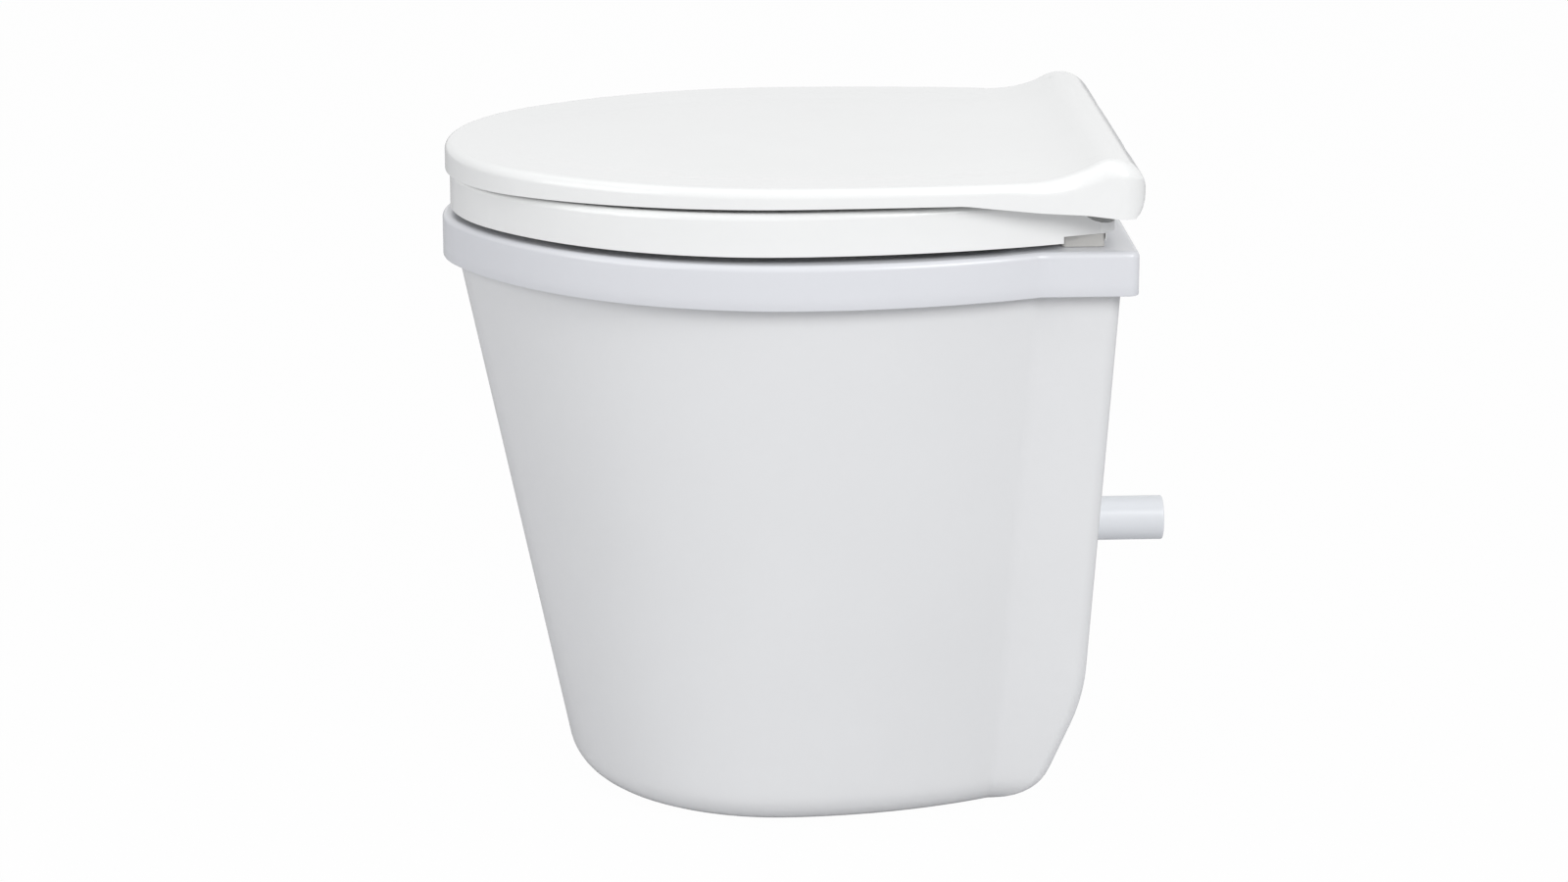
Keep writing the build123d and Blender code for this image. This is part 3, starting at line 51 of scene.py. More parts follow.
# %% Camera
PITCH = 0.2760
YAW = -0.0530
LENS_PIXELS = 4335.7
SENSOR_WIDTH = 36.0
IMAGE_WIDTH = 1600.0
EYE = Vector((2946.2, -165.3, 1071.8)) * MM
forward = Vector((-np.cos(PITCH) * np.cos(YAW), -np.cos(PITCH) * np.sin(YAW), -np.sin(PITCH)))
right = Vector((-np.sin(YAW), np.cos(YAW), 0.0))
up = right.cross(forward)
camera_data = bpy.data.cameras.new("camera")
camera_data.sensor_width = SENSOR_WIDTH
camera_data.lens = LENS_PIXELS / IMAGE_WIDTH * SENSOR_WIDTH
camera = bpy.data.objects.new("camera", camera_data)
camera.matrix_world = Matrix.Translation(EYE) @ Matrix((right, up, -forward)).transposed().to_4x4()
bpy.context.scene.collection.objects.link(camera)
bpy.context.scene.camera = camera
bpy.context.scene.view_settings.view_transform = "Standard"
print("lens", round(camera_data.lens, 2), "mm")

# %% [markdown]
# Shader maths reads best as a formula. This small class wraps one socket and gives it the operators that the
# finishes use, so that a finish is written as an expression and Blender gets the Math nodes.


# %% Shader formula helper
class Wire:
    """One output socket of a material, with arithmetic that adds Math nodes."""

    def __init__(self, tree, socket):
        self.tree = tree
        self.socket = socket

    def node(self, kind, settings=None, **values):
        """Adds a node: its settings first, then its sockets by name or as i0, i1 by number."""
        made = self.tree.nodes.new(kind)
        for name, value in (settings or {}).items():
            setattr(made, name, value)
        for name, value in values.items():
            key = int(name[1:]) if name.startswith("i") and name[1:].isdigit() else name
            target = made.inputs[key]
            if isinstance(value, Wire):
                self.tree.links.new(value.socket, target)
            else:
                target.default_value = value
        shown = [s for s in made.outputs if s.enabled]
        return Wire(self.tree, shown[0])

    def maths(self, operation, *operands):
        """Adds one Math node on sockets and numbers."""
        values = {f"i{k}": operand for k, operand in enumerate(operands)}
        return self.node("ShaderNodeMath", {"operation": operation}, **values)

    def __add__(self, other):
        return self.maths("ADD", self, other)

    __radd__ = __add__

    def __mul__(self, other):
        return self.maths("MULTIPLY", self, other)

    __rmul__ = __mul__

    def between(self, low, high):
        """0 below low, 1 above high, a straight slope between."""
        return self.node("ShaderNodeMapRange", None, i0=self, i1=low, i2=high)

    def blend(self, first, second):
        """Mix of two colours, with this socket as the factor."""
        made = self.tree.nodes.new("ShaderNodeMix")
        made.data_type = "RGBA"
        self.tree.links.new(self.socket, made.inputs[0])
        for slot, colour in ((6, first), (7, second)):
            made.inputs[slot].default_value = (*colour, 1.0)
        return Wire(self.tree, made.outputs[2])


def new_finish(name):
    """A material with a Principled shader; returns the material, the shader and a wire with object coordinates."""
    material = bpy.data.materials.new(name)
    material.use_nodes = True
    tree = material.node_tree
    shader = tree.nodes["Principled BSDF"]
    place = Wire(tree, tree.nodes.new("ShaderNodeTexCoord").outputs["Object"])
    return material, shader, place


# %% [markdown]
# White moulded plastic is never one flat colour. It has a very slight mottle and a skin of fine orange peel that
# softens reflections. Both are small: the plastic still reads as clean and glossy. Rubber and matt fittings use the
# same recipe with more of both.

# %% Moulded plastic finish
CLOUD_SCALE = 7.0
SPECK_SCALE = 160.0
PEEL_SCALE = 420.0
PEEL_DEPTH = 0.0005
GLOSS_SPREAD = 0.05
PLASTIC_IOR = 1.46


def moulded(name, colour, roughness, mottle=0.012, peel=0.02):
    """Plastic or rubber: colour with a faint mottle, roughness in soft patches, and an orange-peel bump."""
    material, shader, place = new_finish(name)
    tree = material.node_tree
    cloud = place.node("ShaderNodeTexNoise", None, Vector=place, Scale=CLOUD_SCALE, Detail=3.0)
    speck = place.node("ShaderNodeTexNoise", None, Vector=place, Scale=SPECK_SCALE, Detail=2.0)
    darker = tuple(c * (1.0 - 2.0 * mottle) for c in colour)
    shade = (cloud * 0.8 + speck * 0.2).between(0.3, 0.7).blend(darker, colour)
    tree.links.new(shade.socket, shader.inputs["Base Color"])
    gloss = cloud.between(0.35, 0.65) * GLOSS_SPREAD + (roughness - GLOSS_SPREAD / 2)
    tree.links.new(gloss.socket, shader.inputs["Roughness"])
    skin = place.node("ShaderNodeTexNoise", None, Vector=place, Scale=PEEL_SCALE, Detail=1.0)
    bump = place.node("ShaderNodeBump", None, Strength=peel, Distance=PEEL_DEPTH, Height=skin)
    tree.links.new(bump.socket, shader.inputs["Normal"])
    shader.inputs["IOR"].default_value = PLASTIC_IOR
    return material


CASING_WHITE = moulded("casing_plastic", (0.80, 0.805, 0.81), 0.20)
RIM_WHITE = moulded("rim_plastic", (0.755, 0.765, 0.795), 0.22)
SEAT_WHITE = moulded("seat_plastic", (0.90, 0.905, 0.895), 0.16)
PIPE_WHITE = moulded("pipe_plastic", (0.84, 0.86, 0.89), 0.24)
BOWL_WHITE = moulded("bowl_plastic", (0.84, 0.85, 0.86), 0.14)
BUFFER_GREY = moulded("buffer_rubber", (0.70, 0.69, 0.66), 0.55, mottle=0.04, peel=0.12)
PEG_WHITE = moulded("peg_rubber", (0.70, 0.70, 0.68), 0.55, mottle=0.03, peel=0.10)
FITTING_GREY = moulded("fitting_plastic", (0.20, 0.21, 0.23), 0.38, mottle=0.05, peel=0.06)
HOSE_GREY = moulded("hose_rubber", (0.10, 0.105, 0.11), 0.48, mottle=0.06, peel=0.10)
SEAL_BLACK = moulded("seal_rubber", (0.03, 0.03, 0.032), 0.55, mottle=0.10, peel=0.12)
BUCKET_GREY = moulded("bucket_plastic", (0.17, 0.19, 0.22), 0.34, mottle=0.05, peel=0.05)
TRAY_GREY = moulded("tray_plastic", (0.34, 0.35, 0.36), 0.40, mottle=0.05, peel=0.06)
GRIP_PALE = moulded("grip_plastic", (0.66, 0.66, 0.65), 0.36, mottle=0.03, peel=0.05)
print("plastic and rubber finishes", len(bpy.data.materials))

# %% [markdown]
# The pins, screws, bail and clamps are stainless steel. Wire and rod are drawn, so the fine lines run along them.
# A noise that is stretched a hundred times along one axis gives those lines in both colour and roughness.

# %% Drawn steel finish
LINE_SCALE = 900.0
ALONG_SCALE = 9.0


def drawn_steel(name, along):
    """Stainless steel with fine lines along one axis, named 0, 1 or 2."""
    material, shader, place = new_finish(name)
    tree = material.node_tree
    stretch = [LINE_SCALE, LINE_SCALE, LINE_SCALE]
    stretch[along] = ALONG_SCALE
    lined = place.node("ShaderNodeMapping", None, Vector=place, Scale=stretch)
    line = place.node("ShaderNodeTexNoise", None, Vector=lined, Scale=1.0, Detail=2.0)
    smear = place.node("ShaderNodeTexNoise", None, Vector=place, Scale=30.0, Detail=3.0)
    shade = line.between(0.3, 0.7).blend((0.50, 0.50, 0.49), (0.68, 0.68, 0.67))
    tree.links.new(shade.socket, shader.inputs["Base Color"])
    gloss = line * 0.14 + smear * 0.12 + 0.14
    tree.links.new(gloss.socket, shader.inputs["Roughness"])
    bump = place.node("ShaderNodeBump", None, Strength=0.08, Distance=0.0003, Height=line)
    tree.links.new(bump.socket, shader.inputs["Normal"])
    shader.inputs["Metallic"].default_value = 1.0
    return material


STEEL_ACROSS = drawn_steel("steel_across", 0)
STEEL_UPRIGHT = drawn_steel("steel_upright", 2)
print("steel finishes", STEEL_ACROSS.name, STEEL_UPRIGHT.name)

# %% [markdown]
# Every solid of the frame gets a finish from the list, also those that only show when the lid is up or the top is
# off: grey bucket, dark hose, black seals and steel pins. The solids themselves stay as they are.

# %% Finishes on the CAD nodes
NODE_FINISH = {
    "casing": CASING_WHITE,
    "rim_deck": RIM_WHITE,
    "seat": SEAT_WHITE,
    "lid": SEAT_WHITE,
    "seat_buffers": BUFFER_GREY,
    "lid_buffers": PEG_WHITE,
    "outlet_pipe": PIPE_WHITE,
    "bowl_insert": BOWL_WHITE,
    "bowl_screws": STEEL_UPRIGHT,
    "strainer": STEEL_UPRIGHT,
    "rim_gasket": SEAL_BLACK,
    "hinge_posts": SEAT_WHITE,
    "hinge_pins": STEEL_ACROSS,
    "pin_caps": SEAT_WHITE,
    "hinge_bolts": STEEL_UPRIGHT,
    "hinge_washers": SEAL_BLACK,
    "wing_nuts": GRIP_PALE,
    "drain_elbow": FITTING_GREY,
    "coupling_seal": SEAL_BLACK,
    "drain_hose": HOSE_GREY,
    "hose_clamps": STEEL_ACROSS,
    "hose_clips": GRIP_PALE,
    "outlet_elbow": FITTING_GREY,
    "pipe_locknut": FITTING_GREY,
    "wall_seal": PIPE_WHITE,
    "container_tray": TRAY_GREY,
    "container": BUCKET_GREY,
    "bail": STEEL_ACROSS,
    "bail_grip": GRIP_PALE,
}
for node, finish in NODE_FINISH.items():
    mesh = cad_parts[node].data
    mesh.materials.clear()
    mesh.materials.append(finish)
print("nodes dressed", len(NODE_FINISH), "of", len(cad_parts))

# %% [markdown]
# The casing, rim and lid all share one kind of outline: a nose arc, a side arc and a rear side arc on each side,
# then a flat panel, a rounded corner and a flat rear edge. One pair of functions works out the right half of that
# outline. They take a whole column of insets or heights at once, so a surface is one array of rings, and every ring
# has the same number of points, which lets rings at different heights join point to point.

# %% Outline of arcs
REAR_Y = 225.0
NOSE_STEPS, SIDE_STEPS, REAR_STEPS = 26, 54, 40
PANEL_STEPS, CORNER_STEPS, BACK_STEPS = 10, 10, 24
MOST_CORNER_SHARE = 0.9
QUARTER = np.pi / 2


def column(values):
    """One value per ring as a column, so that it spreads along the ring's points."""
    return np.asarray(values, float).reshape(-1, 1)


def arc(centre_x, centre_y, radius, start, end, steps):
    """Points (cx + r cos a, cy + r sin a), the angle running from start towards end, the last one left out."""
    angle = start + (end - start) * np.linspace(0.0, 1.0, steps, endpoint=False)
    return np.stack([centre_x + radius * np.cos(angle), centre_y + radius * np.sin(angle)], -1)


def flank(plan, inset):
    """Nose arc, side arc and rear side arc of an outline moved inwards by a column of insets, up to the crease.

    The side radius is the one at which the arc touches the nose arc and runs straight back at the widest place:
    (half squared + across squared - nose squared) / 2 (half - nose).
    """
    gap = column(inset)
    half, nose, rear_half = plan["half"] - gap, plan["nose"] - gap, plan["rear_half"] - gap
    across = plan["reach"] - plan["nose"] - plan["widest"]
    side = (half**2 + across**2 - nose**2) / (2 * (half - nose))
    rear = ((plan["widest"] - plan["panel"]) ** 2 + (half - rear_half) ** 2) / (2 * (half - rear_half))
    side_y = REAR_Y - plan["widest"]
    nose_y = side_y - across
    facing = np.sign(side - nose)
    turn = np.arctan2(facing * (nose_y - side_y), facing * (side - half))
    last = np.arcsin((plan["widest"] - plan["panel"]) / rear)
    crease = np.stack([rear_half, np.full_like(gap, REAR_Y - plan["panel"])], -1)
    return np.concatenate(
        [
            arc(0.0 * gap, nose_y, nose, -QUARTER, turn, NOSE_STEPS),
            arc(half - side, side_y, side, turn, 0.0, SIDE_STEPS),
            arc(half - rear, side_y, rear, 0.0, last, REAR_STEPS),
            crease,
        ],
        1,
    )


def closed_half(side, back_y, corner):
    """Half rings: a side, then a straight panel, a quarter circle and the flat rear edge to the centreline."""
    crease_x, crease_y = side[:, -1, :1], side[:, -1, 1:]
    back_y = column(back_y) + 0.0 * crease_y
    radius = np.minimum(column(corner), MOST_CORNER_SHARE * (back_y - crease_y))
    share = np.linspace(0.0, 1.0, PANEL_STEPS, endpoint=False)[1:]
    panel = np.stack([crease_x + 0.0 * share, crease_y + (back_y - radius - crease_y) * share], -1)
    bend = arc(crease_x - radius, back_y - radius, radius, 0.0, QUARTER, CORNER_STEPS)
    share = np.linspace(1.0, 0.0, BACK_STEPS)
    back = np.stack([(crease_x - radius) * share, back_y + 0.0 * share], -1)
    return np.concatenate([side, panel, bend, back], 1)


def rings(half, height):
    """Whole rings from half rings: the half, then its mirror image in reverse, with a height for every point."""
    height = np.broadcast_to(height, half.shape[:2])[..., None]
    half = np.concatenate([half, height], 2)
    return np.concatenate([half, half[:, -2:0:-1] * np.array([-1.0, 1.0, 1.0])], 1)


RIM = dict(reach=476.0, half=187.6, rear_half=156.8, nose=96.3, widest=231.5, panel=67.0)
BASE = dict(reach=386.4, half=157.5, rear_half=125.0, nose=190.0, widest=239.8, panel=94.7)
LID = dict(reach=473.5, half=182.0, rear_half=167.0, nose=145.0, widest=225.0, panel=42.0)
print("points in one rim ring", rings(closed_half(flank(RIM, [0.0]), REAR_Y, 7.0), 0.0).shape[1])

# %% [markdown]
# A stack of rings becomes a mesh by joining each ring to the next with four-sided faces. A hollow piece is one
# long stack that runs up its outside, over its edge and down its inside, so it is closed and has a true wall. The
# faces are index arithmetic on whole arrays, so no loop visits a point.


# %% Mesh from a stack of rings
def faces_between(ring_count, point_count, around):
    """Four-sided faces between neighbouring rings; with around, also between the last ring and the first."""
    ring = np.arange(ring_count if around else ring_count - 1)[:, None] * point_count
    above = (ring + point_count) % (ring_count * point_count)
    here = np.arange(point_count)[None]
    then = (here + 1) % point_count
    return np.stack([ring + here, ring + then, above + then, above + here], -1).reshape(-1, 4)


def fan(ring_start, point_count, middle, downward):
    """Triangles from one ring to its middle point, facing down or up."""
    here = np.arange(point_count)
    then = (here + 1) % point_count
    pair = (then, here) if downward else (here, then)
    return np.stack([np.full(point_count, middle), ring_start + pair[0], ring_start + pair[1]], 1)


def piece_mesh(name, stack, poles=True):
    """A closed mesh in metres from a stack of rings: capped by a fan at both ends, or joined end to end."""
    ring_count, point_count = stack.shape[:2]
    points = stack.reshape(-1, 3)
    faces = faces_between(ring_count, point_count, around=not poles).tolist()
    if poles:
        points = np.concatenate([points, stack[:1].mean(1), stack[-1:].mean(1)])
        faces += fan(0, point_count, len(points) - 2, True).tolist()
        faces += fan((ring_count - 1) * point_count, point_count, len(points) - 1, False).tolist()
    mesh = bpy.data.meshes.new(name)
    mesh.from_pydata((points * MM).tolist(), [], faces)
    return mesh


print("faces between two rings of four points", len(faces_between(2, 4, False)))

# %% [markdown]
# Holes and notches are cut with Blender's exact Boolean, because a hole's edge doesn't follow the rings. The
# result is kept as a plain mesh. Meshes are joined by reading and writing their arrays in one go.

# %% Joining and cutting
CUT_SOLVER = "EXACT"


def read_values(items, name, width, kind):
    """One attribute of all items as an array, width numbers per item."""
    values = np.empty(len(items) * width, kind)
    items.foreach_get(name, values)
    return values


def join_meshes(name, meshes):
    """One mesh with the points and faces of several."""
    points, corners, sizes, start = [], [], [], 0
    for mesh in meshes:
        points.append(read_values(mesh.vertices, "co", 3, np.float32).reshape(-1, 3))
        corners.append(read_values(mesh.loops, "vertex_index", 1, np.int32) + start)
        sizes.append(read_values(mesh.polygons, "loop_total", 1, np.int32))
        start += len(mesh.vertices)
    ends = np.cumsum(np.concatenate(sizes))[:-1]
    faces = [face.tolist() for face in np.split(np.concatenate(corners), ends)]
    joined = bpy.data.meshes.new(name)
    joined.from_pydata(np.concatenate(points).tolist(), [], faces)
    return joined


def cut(mesh, cutters):
    """The mesh with other closed meshes taken out of it."""
    body = bpy.data.objects.new("cut_body", mesh)
    tool = bpy.data.objects.new("cut_tool", join_meshes("cutter", cutters))
    for item in (body, tool):
        bpy.context.scene.collection.objects.link(item)
    step = body.modifiers.new("cut", "BOOLEAN")
    step.operation = "DIFFERENCE"
    step.solver = CUT_SOLVER
    step.object = tool
    result = bpy.data.meshes.new_from_object(body.evaluated_get(bpy.context.evaluated_depsgraph_get()))
    for item in (body, tool):
        bpy.data.objects.remove(item)
    return result


def round_bar(centre, axis, radius, low, high, steps=48):
    """Closed round bar along Y or Z, centred on the two other coordinates, from low to high."""
    angle = np.linspace(0.0, 2 * np.pi, steps, endpoint=False)
    first, second = [k for k in range(3) if k != axis]
    stack = np.empty((2, steps, 3))
    stack[..., axis] = np.array([[low], [high]])
    stack[..., first] = centre[0] + radius * np.cos(angle)
    stack[..., second] = centre[1] + radius * np.sin(angle) * (-1.0 if axis == 1 else 1.0)
    return piece_mesh("bar", stack)


print("holes and notches are cut with the solver", CUT_SOLVER)

# %% [markdown]
# A finished mesh is shaded smooth, except where two faces meet at a steep angle, such as at a hole's edge.

# %% Making a piece
SMOOTH_ANGLE = np.radians(38.0)


def make_piece(name, mesh, body, node, finish):
    """A smooth-shaded object that rides on a body in place of a CAD node."""
    mesh.polygons.foreach_set("use_smooth", np.ones(len(mesh.polygons), bool))
    mesh.set_sharp_from_angle(angle=SMOOTH_ANGLE)
    mesh.materials.clear()
    mesh.materials.append(finish)
    made = bpy.data.objects.new(name, mesh)
    bpy.context.scene.collection.objects.link(made)
    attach(made, body)
    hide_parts(node)
    print(name, "points", len(mesh.vertices), "faces", len(mesh.polygons))


# %% [markdown]
# The casing is a moulded tub. Its sides are straight rulings from the base outline to the outline under the rim, its
# foot turns under with a radius of 21.5 mm, and the rear wall bends forward at a knee and rounds into the floor at a
# heel. The rear edge of each ring is set by that side profile, so the heel, the foot and the upright corners all run
# into each other softly, which is hard to get by rounding the edges of a solid.

# %% Side profile of the rear wall
RIM_BOTTOM = 379.0
WALL = 4.0
FLOOR_THICKNESS = 5.0
HEEL_Y, HEEL_RADIUS = 162.2, 45.0
KNEE_Y, KNEE_Z, KNEE_RADIUS = 196.5, 80.0, 130.0
WAIST_Y = 214.4
FRONT_Y = -200.0


def fillet_arc(before, corner, after, radius, steps=24):
    """Circle arc that rounds a corner: centre plus a turn from one touching point to the other."""
    before, corner, after = (np.asarray(point, float) for point in (before, corner, after))
    into = (before - corner) / np.linalg.norm(before - corner)
    out = (after - corner) / np.linalg.norm(after - corner)
    half = np.arccos(into @ out) / 2
    middle = corner + (into + out) / np.linalg.norm(into + out) * radius / np.sin(half)
    first = corner + into * radius / np.tan(half) - middle
    last = corner + out * radius / np.tan(half) - middle
    whole = np.pi - 2 * half
    share = np.linspace(0.0, 1.0, steps)[:, None]
    return middle + (first * np.sin((1 - share) * whole) + last * np.sin(share * whole)) / np.sin(whole)


def rear_profile(height, gap):
    """Y of the rear wall at each height: heel arc, slope, knee arc and wall, moved inwards by a gap."""
    floor = 0.0 if gap == 0 else FLOOR_THICKNESS
    front, heel = (FRONT_Y, floor), (HEEL_Y - gap, floor)
    knee, top = (KNEE_Y - gap, KNEE_Z), (WAIST_Y - gap, RIM_BOTTOM)
    heel_arc = fillet_arc(front, heel, knee, HEEL_RADIUS - gap)
    knee_arc = fillet_arc(heel, knee, top, KNEE_RADIUS - gap)
    line = np.concatenate([heel_arc, knee_arc, [top]])
    return np.interp(height, line[:, 1], line[:, 0])


print("rear wall at 0, 80 and 300 mm", rear_profile(np.array([0.0, 80.0, 300.0]), 0.0).round(1))

# %% Casing
FOOT_RADIUS = 21.5
UPRIGHT_CORNER = 9.0
WAIST_INSET = 10.6
KNEE_END_Z = 112.0
LOW_ROWS, HIGH_ROWS = 15, 20
FLANGE_BOTTOM, CASING_TOP = 399.5, 403.5
FLANGE_INSET = 4.6
NECK_CORNER = 5.0
FLOOR_HOLES = [(x, y) for x in (-110.0, 110.0) for y in (-80.0, 50.0)]
FLOOR_HOLE_RADIUS = 3.5
OUTLET_Z = 174.5
SEAL_HOLE_RADIUS = 19.1


def tub_rings(heights, insets, gap):
    """Tub rings at heights: ruled between base and waist outlines, inset for the foot, cut by the side profile."""
    share = np.clip(heights / RIM_BOTTOM, 0.0, 1.0)[:, None, None]
    side = (1 - share) * flank(BASE, insets + gap) + share * flank(RIM, insets + gap + WAIST_INSET)
    half = closed_half(side, rear_profile(heights, gap), UPRIGHT_CORNER - gap)
    return rings(half, column(heights))


def foot_curve(radius, floor, steps=10):
    """Heights and insets of the foot's quarter round: h = r (1 - cos a), inset = r (1 - sin a)."""
    angle = np.linspace(0.0, QUARTER, steps)
    return floor + radius * (1 - np.cos(angle)), radius * (1 - np.sin(angle))


def tub_wall(gap, floor):
    """Foot curve, then close steps round heel and knee and wider steps above them, up to the flange."""
    foot_z, foot_inset = foot_curve(FOOT_RADIUS - gap, floor)
    low_z = np.linspace(foot_z[-1], KNEE_END_Z, LOW_ROWS)[1:]
    high_z = np.linspace(KNEE_END_Z, RIM_BOTTOM, HIGH_ROWS)[1:]
    wall_z = np.concatenate([low_z, high_z, [FLANGE_BOTTOM]])
    return tub_rings(np.concatenate([foot_z, wall_z]), np.concatenate([foot_inset, 0.0 * wall_z]), gap)


flange_side = flank(RIM, [FLANGE_INSET, FLANGE_INSET])
flange = rings(closed_half(flange_side, REAR_Y - FLANGE_INSET, NECK_CORNER), column([FLANGE_BOTTOM, CASING_TOP]))
neck_inset = WAIST_INSET + WALL
neck = rings(closed_half(flank(RIM, [neck_inset]), REAR_Y - neck_inset, NECK_CORNER), column([CASING_TOP]))
casing_stack = np.concatenate([tub_wall(0.0, 0.0), flange, neck, tub_wall(WALL, FLOOR_THICKNESS)[::-1]])
holes = [round_bar(place, 2, FLOOR_HOLE_RADIUS, -10.0, 15.0) for place in FLOOR_HOLES]
holes.append(round_bar((0.0, OUTLET_Z), 1, SEAL_HOLE_RADIUS, 150.0, 240.0))
casing_mesh = cut(piece_mesh("casing_shell", casing_stack), holes)
make_piece("casing_shell", casing_mesh, "base", "casing", CASING_WHITE)

# %% [markdown]
# The rim is one ring with an upright band, a soft top edge and a flat deck with an oval opening. Its section is
# closed, so the last ring of the stack joins the first.

# %% Rim
DECK_TOP = 410.0
BAND_FILLET = 4.3
BAND_FOOT_INSETS = [4.0, 0.8, 0.25, 0.0, 0.0, 0.0]
BAND_FOOT_HEIGHTS = [379.0, 379.0, 379.25, 379.8, 388.0, 397.0]
DECK_START_INSET = 6.0
RIM_CORNER = 7.0
BOWL_Y = -30.0
OPENING_X, OPENING_Y = 113.5, 145.5
turn = np.linspace(0.0, QUARTER, 9)
band_inset = np.concatenate([BAND_FOOT_INSETS, BAND_FILLET * (1 - np.cos(turn)), [DECK_START_INSET]])
band_z = np.concatenate([BAND_FOOT_HEIGHTS, DECK_TOP - BAND_FILLET + BAND_FILLET * np.sin(turn), [DECK_TOP]])
band = closed_half(flank(RIM, band_inset), REAR_Y - band_inset, np.maximum(RIM_CORNER - band_inset, 1.0))
outer = rings(band, column(band_z))


def oval_like(ring, half_x, half_y, height):
    """Oval ring that faces a given ring point for point: the same angle after each axis is scaled to a circle."""
    angle = np.arctan2((ring[:, 1] - BOWL_Y) / half_y, ring[:, 0] / half_x)
    return np.stack([half_x * np.cos(angle), half_y * np.sin(angle) + BOWL_Y, np.full(len(ring), height)], 1)


opening = [oval_like(outer[0], OPENING_X, OPENING_Y, height) for height in (DECK_TOP, DECK_TOP - WALL)]
share = np.linspace(0.0, 1.0, 7)[1:, None, None]
deck = outer[-1][None] * (1 - share) + opening[0][None] * share
under = outer[0] * np.array([1.0, 1.0, 0.0]) + np.array([0.0, 0.0, DECK_TOP - WALL])
rim_stack = np.concatenate([outer, deck, opening[1][None], under[None]])
make_piece("rim_shell", piece_mesh("rim_shell", rim_stack, poles=False), "top", "rim_deck", RIM_WHITE)

# %% [markdown]
# The lid is a thin moulded shell. Seen from the side its top is flat and then sweeps up into a roll round the hinge
# line. Seen from above it has the shared outline. So each ring is an outline moved inwards, and its height comes
# from the side profile, less a soft drop near the side edge. The same functions with a smaller roll give the inside.

# %% Side view of the lid
HINGE_Y, HINGE_Z = 204.5, 451.5
ROLL_RADIUS = 23.5
LID_TOP = 461.1
BLEND_RADIUS = 90.0
KINK_REACH = 122.0
FALL_PLACES = [-122.0, -69.0, -36.0, -14.0]
FALL_HEIGHTS = [447.6, 440.8, 437.7, 434.7]
ARCH_LENGTH = 240.0
ARCH_TERMS = (447.66, 1.97, -4.24)


def lid_height(y, gap):
    """Flat top, then a hollow blend arc, then the roll: z of the side profile at y, moved inwards by a gap."""
    roll, blend, flat = ROLL_RADIUS - gap, BLEND_RADIUS + gap, LID_TOP - gap
    rise = flat + blend - HINGE_Z
    reach = np.sqrt((roll + blend) ** 2 - rise**2)
    start, meet = HINGE_Y - reach, HINGE_Y - reach * roll / (roll + blend)
    hollow = flat + blend - np.sqrt(np.maximum(blend**2 - (y - start) ** 2, 0.0))
    crown = HINGE_Z + np.sqrt(np.maximum(roll**2 - (y - HINGE_Y) ** 2, 0.0))
    return np.where(y < start, flat, np.where(y < meet, hollow, crown))


def lid_bottom(y):
    """Lower edge: a slow arch a + b u + c u squared along the front, then straight falls towards the roll."""
    u = (y - REAR_Y + ARCH_LENGTH) / ARCH_LENGTH
    fall = np.interp(y - REAR_Y, FALL_PLACES, FALL_HEIGHTS)
    return np.where(y < REAR_Y - KINK_REACH, ARCH_TERMS[0] + ARCH_TERMS[1] * u + ARCH_TERMS[2] * u**2, fall)


print("crest of the roll", round(float(lid_height(np.array(HINGE_Y), 0.0)), 1), "mm")

# %% [markdown]
# Near its side edge the lid drops in a quarter round, which is wider at the ends of the roll. Over the rear edge the
# roll itself is the rounding, so the drop fades out through the corner. The rings are closest where the surface
# turns fastest: their inset is r (1 - cos a), which gives even angles round the roll.

# %% Surface of the lid
LID_WALL = 3.0
LID_CORNER = 18.0
LID_CENTRE = np.array([0.0, -15.0])
EDGE_RADIUS, ROLL_EDGE_RADIUS = 6.5, 12.0
EDGE_NARROWING = 0.8
EDGE_SWELL = (120.0, 195.0)
DISH_DEPTH = 1.4
DISH_START, DISH_END = 0.02, 0.16
DISH_REAR = (120.0, 165.0)
SHRINK, SHRINK_POWER = 0.97, 1.5
ROLL_ROWS, SKIRT_ROWS, TOP_ROWS = 18, 9, 26


def smooth(value, low, high):
    """Soft step from 0 at low to 1 at high: 3 t squared minus 2 t cubed."""
    t = np.clip((value - low) / (high - low), 0.0, 1.0)
    return t * t * (3.0 - 2.0 * t)


def edge_drop(y, inset, gap):
    """Quarter round near the side edge: r minus the root of r squared minus (r - inset) squared. The rear has none."""
    fading = np.ones(y.shape[1])
    fading[-BACK_STEPS - CORNER_STEPS : -BACK_STEPS] = np.cos(np.linspace(0.0, QUARTER, CORNER_STEPS)) ** 2
    fading[-BACK_STEPS:] = 0.0
    radius = EDGE_RADIUS - EDGE_NARROWING * gap + (ROLL_EDGE_RADIUS - EDGE_RADIUS) * smooth(y, *EDGE_SWELL)
    inside = np.clip(radius - column(inset), 0.0, None)
    return (radius - np.sqrt(np.maximum(radius**2 - inside**2, 0.0))) * fading


